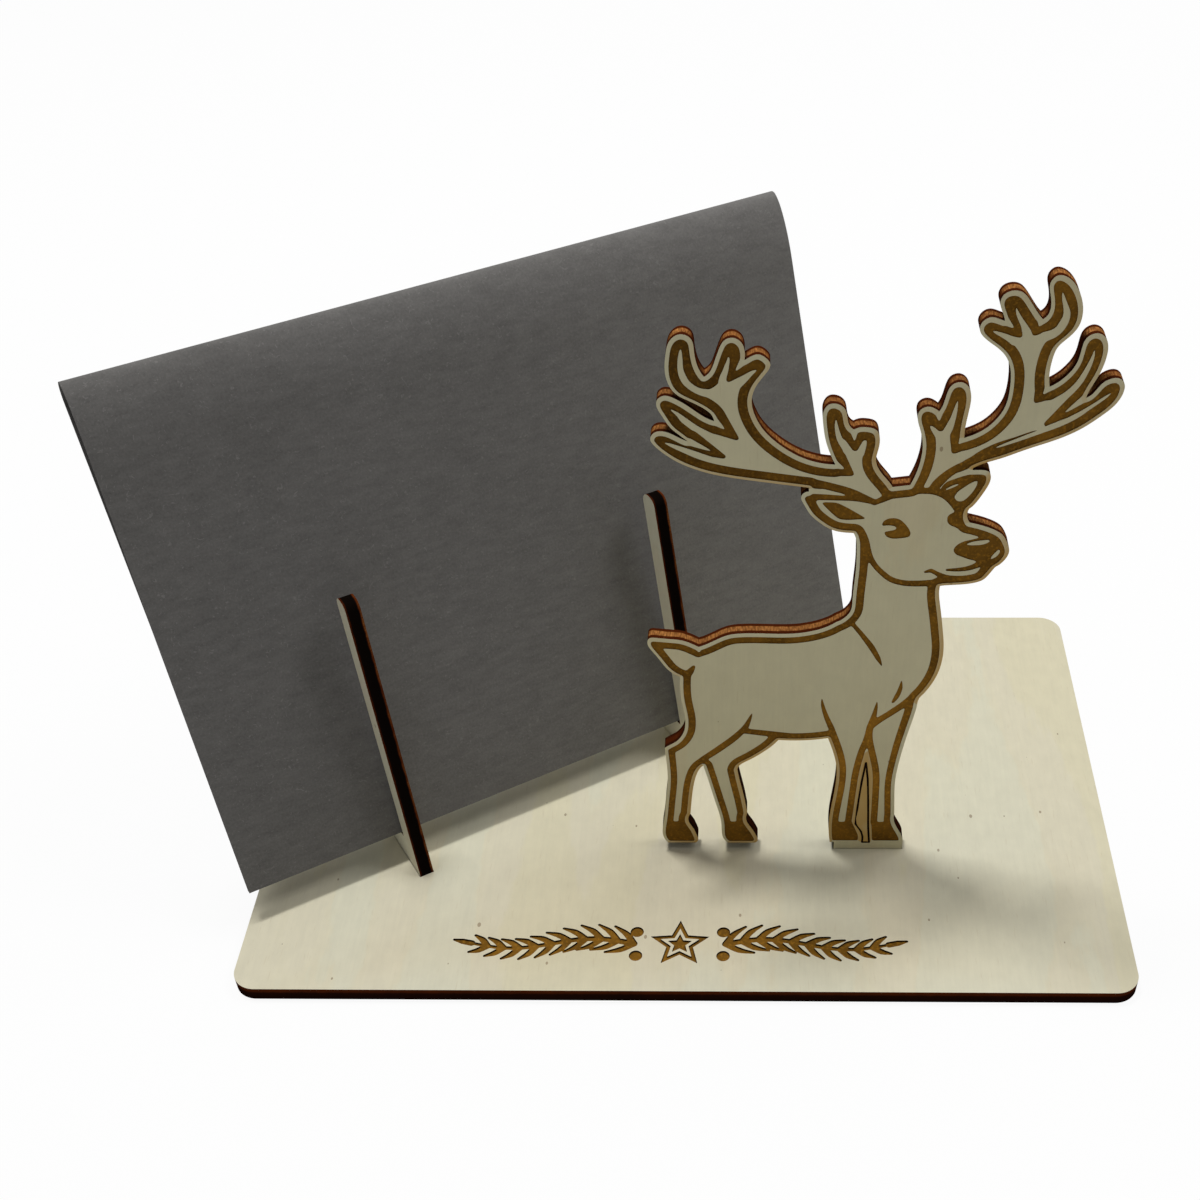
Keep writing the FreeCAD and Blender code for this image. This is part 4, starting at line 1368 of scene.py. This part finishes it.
class CARDHOLDER_OT_stage(bpy.types.Operator):
    """Set up the floor, the light and the camera"""

    bl_idname = "card_holder.stage"
    bl_label = "Stage"

    def execute(self, context):
        scene = context.scene
        settings = scene.card_holder.stage
        scene.view_settings.view_transform = "Standard"
        self.lay_floor(scene, settings)
        self.hang_sky(scene, settings)
        for name, (place, size) in LAMPS.items():
            self.hang_lamp(scene, f"{name}_lamp", place, size, getattr(settings, name))
        self.set_camera(scene)
        return {"FINISHED"}

    def lay_floor(self, scene, settings):
        """A wide pale table that looks white to the camera and still takes shadows."""
        mesh = bpy.data.meshes.new("floor")
        corners = [(-1, -1), (1, -1), (1, 1), (-1, 1)]
        places = [(x * FLOOR_REACH, y * FLOOR_REACH, -FLOOR_DROP) for x, y in corners]
        mesh.from_pydata(places, [], [(0, 1, 2, 3)])
        floor = bpy.data.objects.new("floor", mesh)
        scene.collection.objects.link(floor)
        finish = Finish("pale_floor")
        finish.dress(settings.floor, 0.9, 0.0)
        finish.whiten(finish.shader, "ShaderNodeEmission", FLOOR_WHITE, "Material Output")
        mesh.materials.append(finish.material)

    def hang_sky(self, scene, settings):
        """Even light from all round, behind which the camera sees white."""
        world = bpy.data.worlds.new("sky")
        world.use_nodes = True
        scene.world = world
        nodes = Nodes(world.node_tree)
        sky = nodes.tree.nodes["Background"]
        nodes.feed(sky.inputs["Color"], (1, 1, 1))
        nodes.feed(sky.inputs["Strength"], settings.sky)
        nodes.whiten(sky, "ShaderNodeBackground", 1.0, "World Output")

    def hang_lamp(self, scene, name, place, size, power):
        """A soft oblong lamp that looks at the holder."""
        data = bpy.data.lights.new(name, "AREA")
        data.shape = "RECTANGLE"
        data.size, data.size_y = size
        data.energy = power
        lamp = bpy.data.objects.new(name, data)
        lamp.location = place
        lamp.rotation_euler = (-Vector(place)).to_track_quat("-Z", "Y").to_euler()
        scene.collection.objects.link(lamp)

    def set_camera(self, scene):
        """The camera of the photograph: its place, its heading, its lens and its off-centre frame."""
        yaw, pitch, roll = CAMERA_TURN
        level = math.cos(pitch)
        ahead = Vector((math.sin(yaw) * level, math.cos(yaw) * level, -math.sin(pitch)))
        right = Vector((math.cos(yaw), -math.sin(yaw), 0))
        up = right.cross(ahead)
        cos, sin = math.cos(roll), math.sin(roll)
        right, up = cos * right + sin * up, cos * up - sin * right
        data = bpy.data.cameras.new("photo_camera")
        data.sensor_width = CAMERA_SENSOR
        data.lens = CAMERA_LENS
        data.shift_x, data.shift_y = CAMERA_SHIFT
        data.clip_start = CAMERA_CLIP
        camera = bpy.data.objects.new("photo_camera", data)
        turn = Matrix((right, up, -ahead)).transposed()
        camera.matrix_world = Matrix.Translation(CAMERA_PLACE) @ turn.to_4x4()
        scene.collection.objects.link(camera)
        scene.camera = camera


class CARDHOLDER_PT_panel(bpy.types.Panel):
    """Sidebar panel with the holder's pieces and settings"""

    bl_idname = "CARDHOLDER_PT_panel"
    bl_label = "Gift Card Holder"
    bl_space_type = "VIEW_3D"
    bl_region_type = "UI"
    bl_category = "Card Holder"

    def draw(self, context):
        for operator in OPERATORS:
            self.layout.operator(operator.bl_idname)
        settings = context.scene.card_holder
        for group in (settings.wood, settings.engraving, settings.garland, settings.paper, settings.stage):
            box = self.layout.box()
            for name in group.bl_rna.properties.keys():
                if name not in ("rna_type", "name"):
                    box.prop(group, name)


OPERATORS = (
    CARDHOLDER_OT_plate, CARDHOLDER_OT_reindeer, CARDHOLDER_OT_stays, CARDHOLDER_OT_card,
    CARDHOLDER_OT_stage)
GROUPS = (
    CardHolderWood, CardHolderEngraving, CardHolderGarland, CardHolderPaper, CardHolderStage,
    CardHolderSettings)


def register():
    for group in (*GROUPS, *OPERATORS, CARDHOLDER_PT_panel):
        bpy.utils.register_class(group)
    bpy.types.Scene.card_holder = PointerProperty(type=CardHolderSettings)


def unregister():
    del bpy.types.Scene.card_holder
    for group in reversed((*GROUPS, *OPERATORS, CARDHOLDER_PT_panel)):
        bpy.utils.unregister_class(group)


def main():
    """Build the holder and dress it."""
    register()
    bpy.ops.card_holder.plate()
    bpy.ops.card_holder.reindeer()
    bpy.ops.card_holder.stays()
    bpy.ops.card_holder.card()
    bpy.ops.card_holder.stage()


if __name__ == "__main__":
    main()
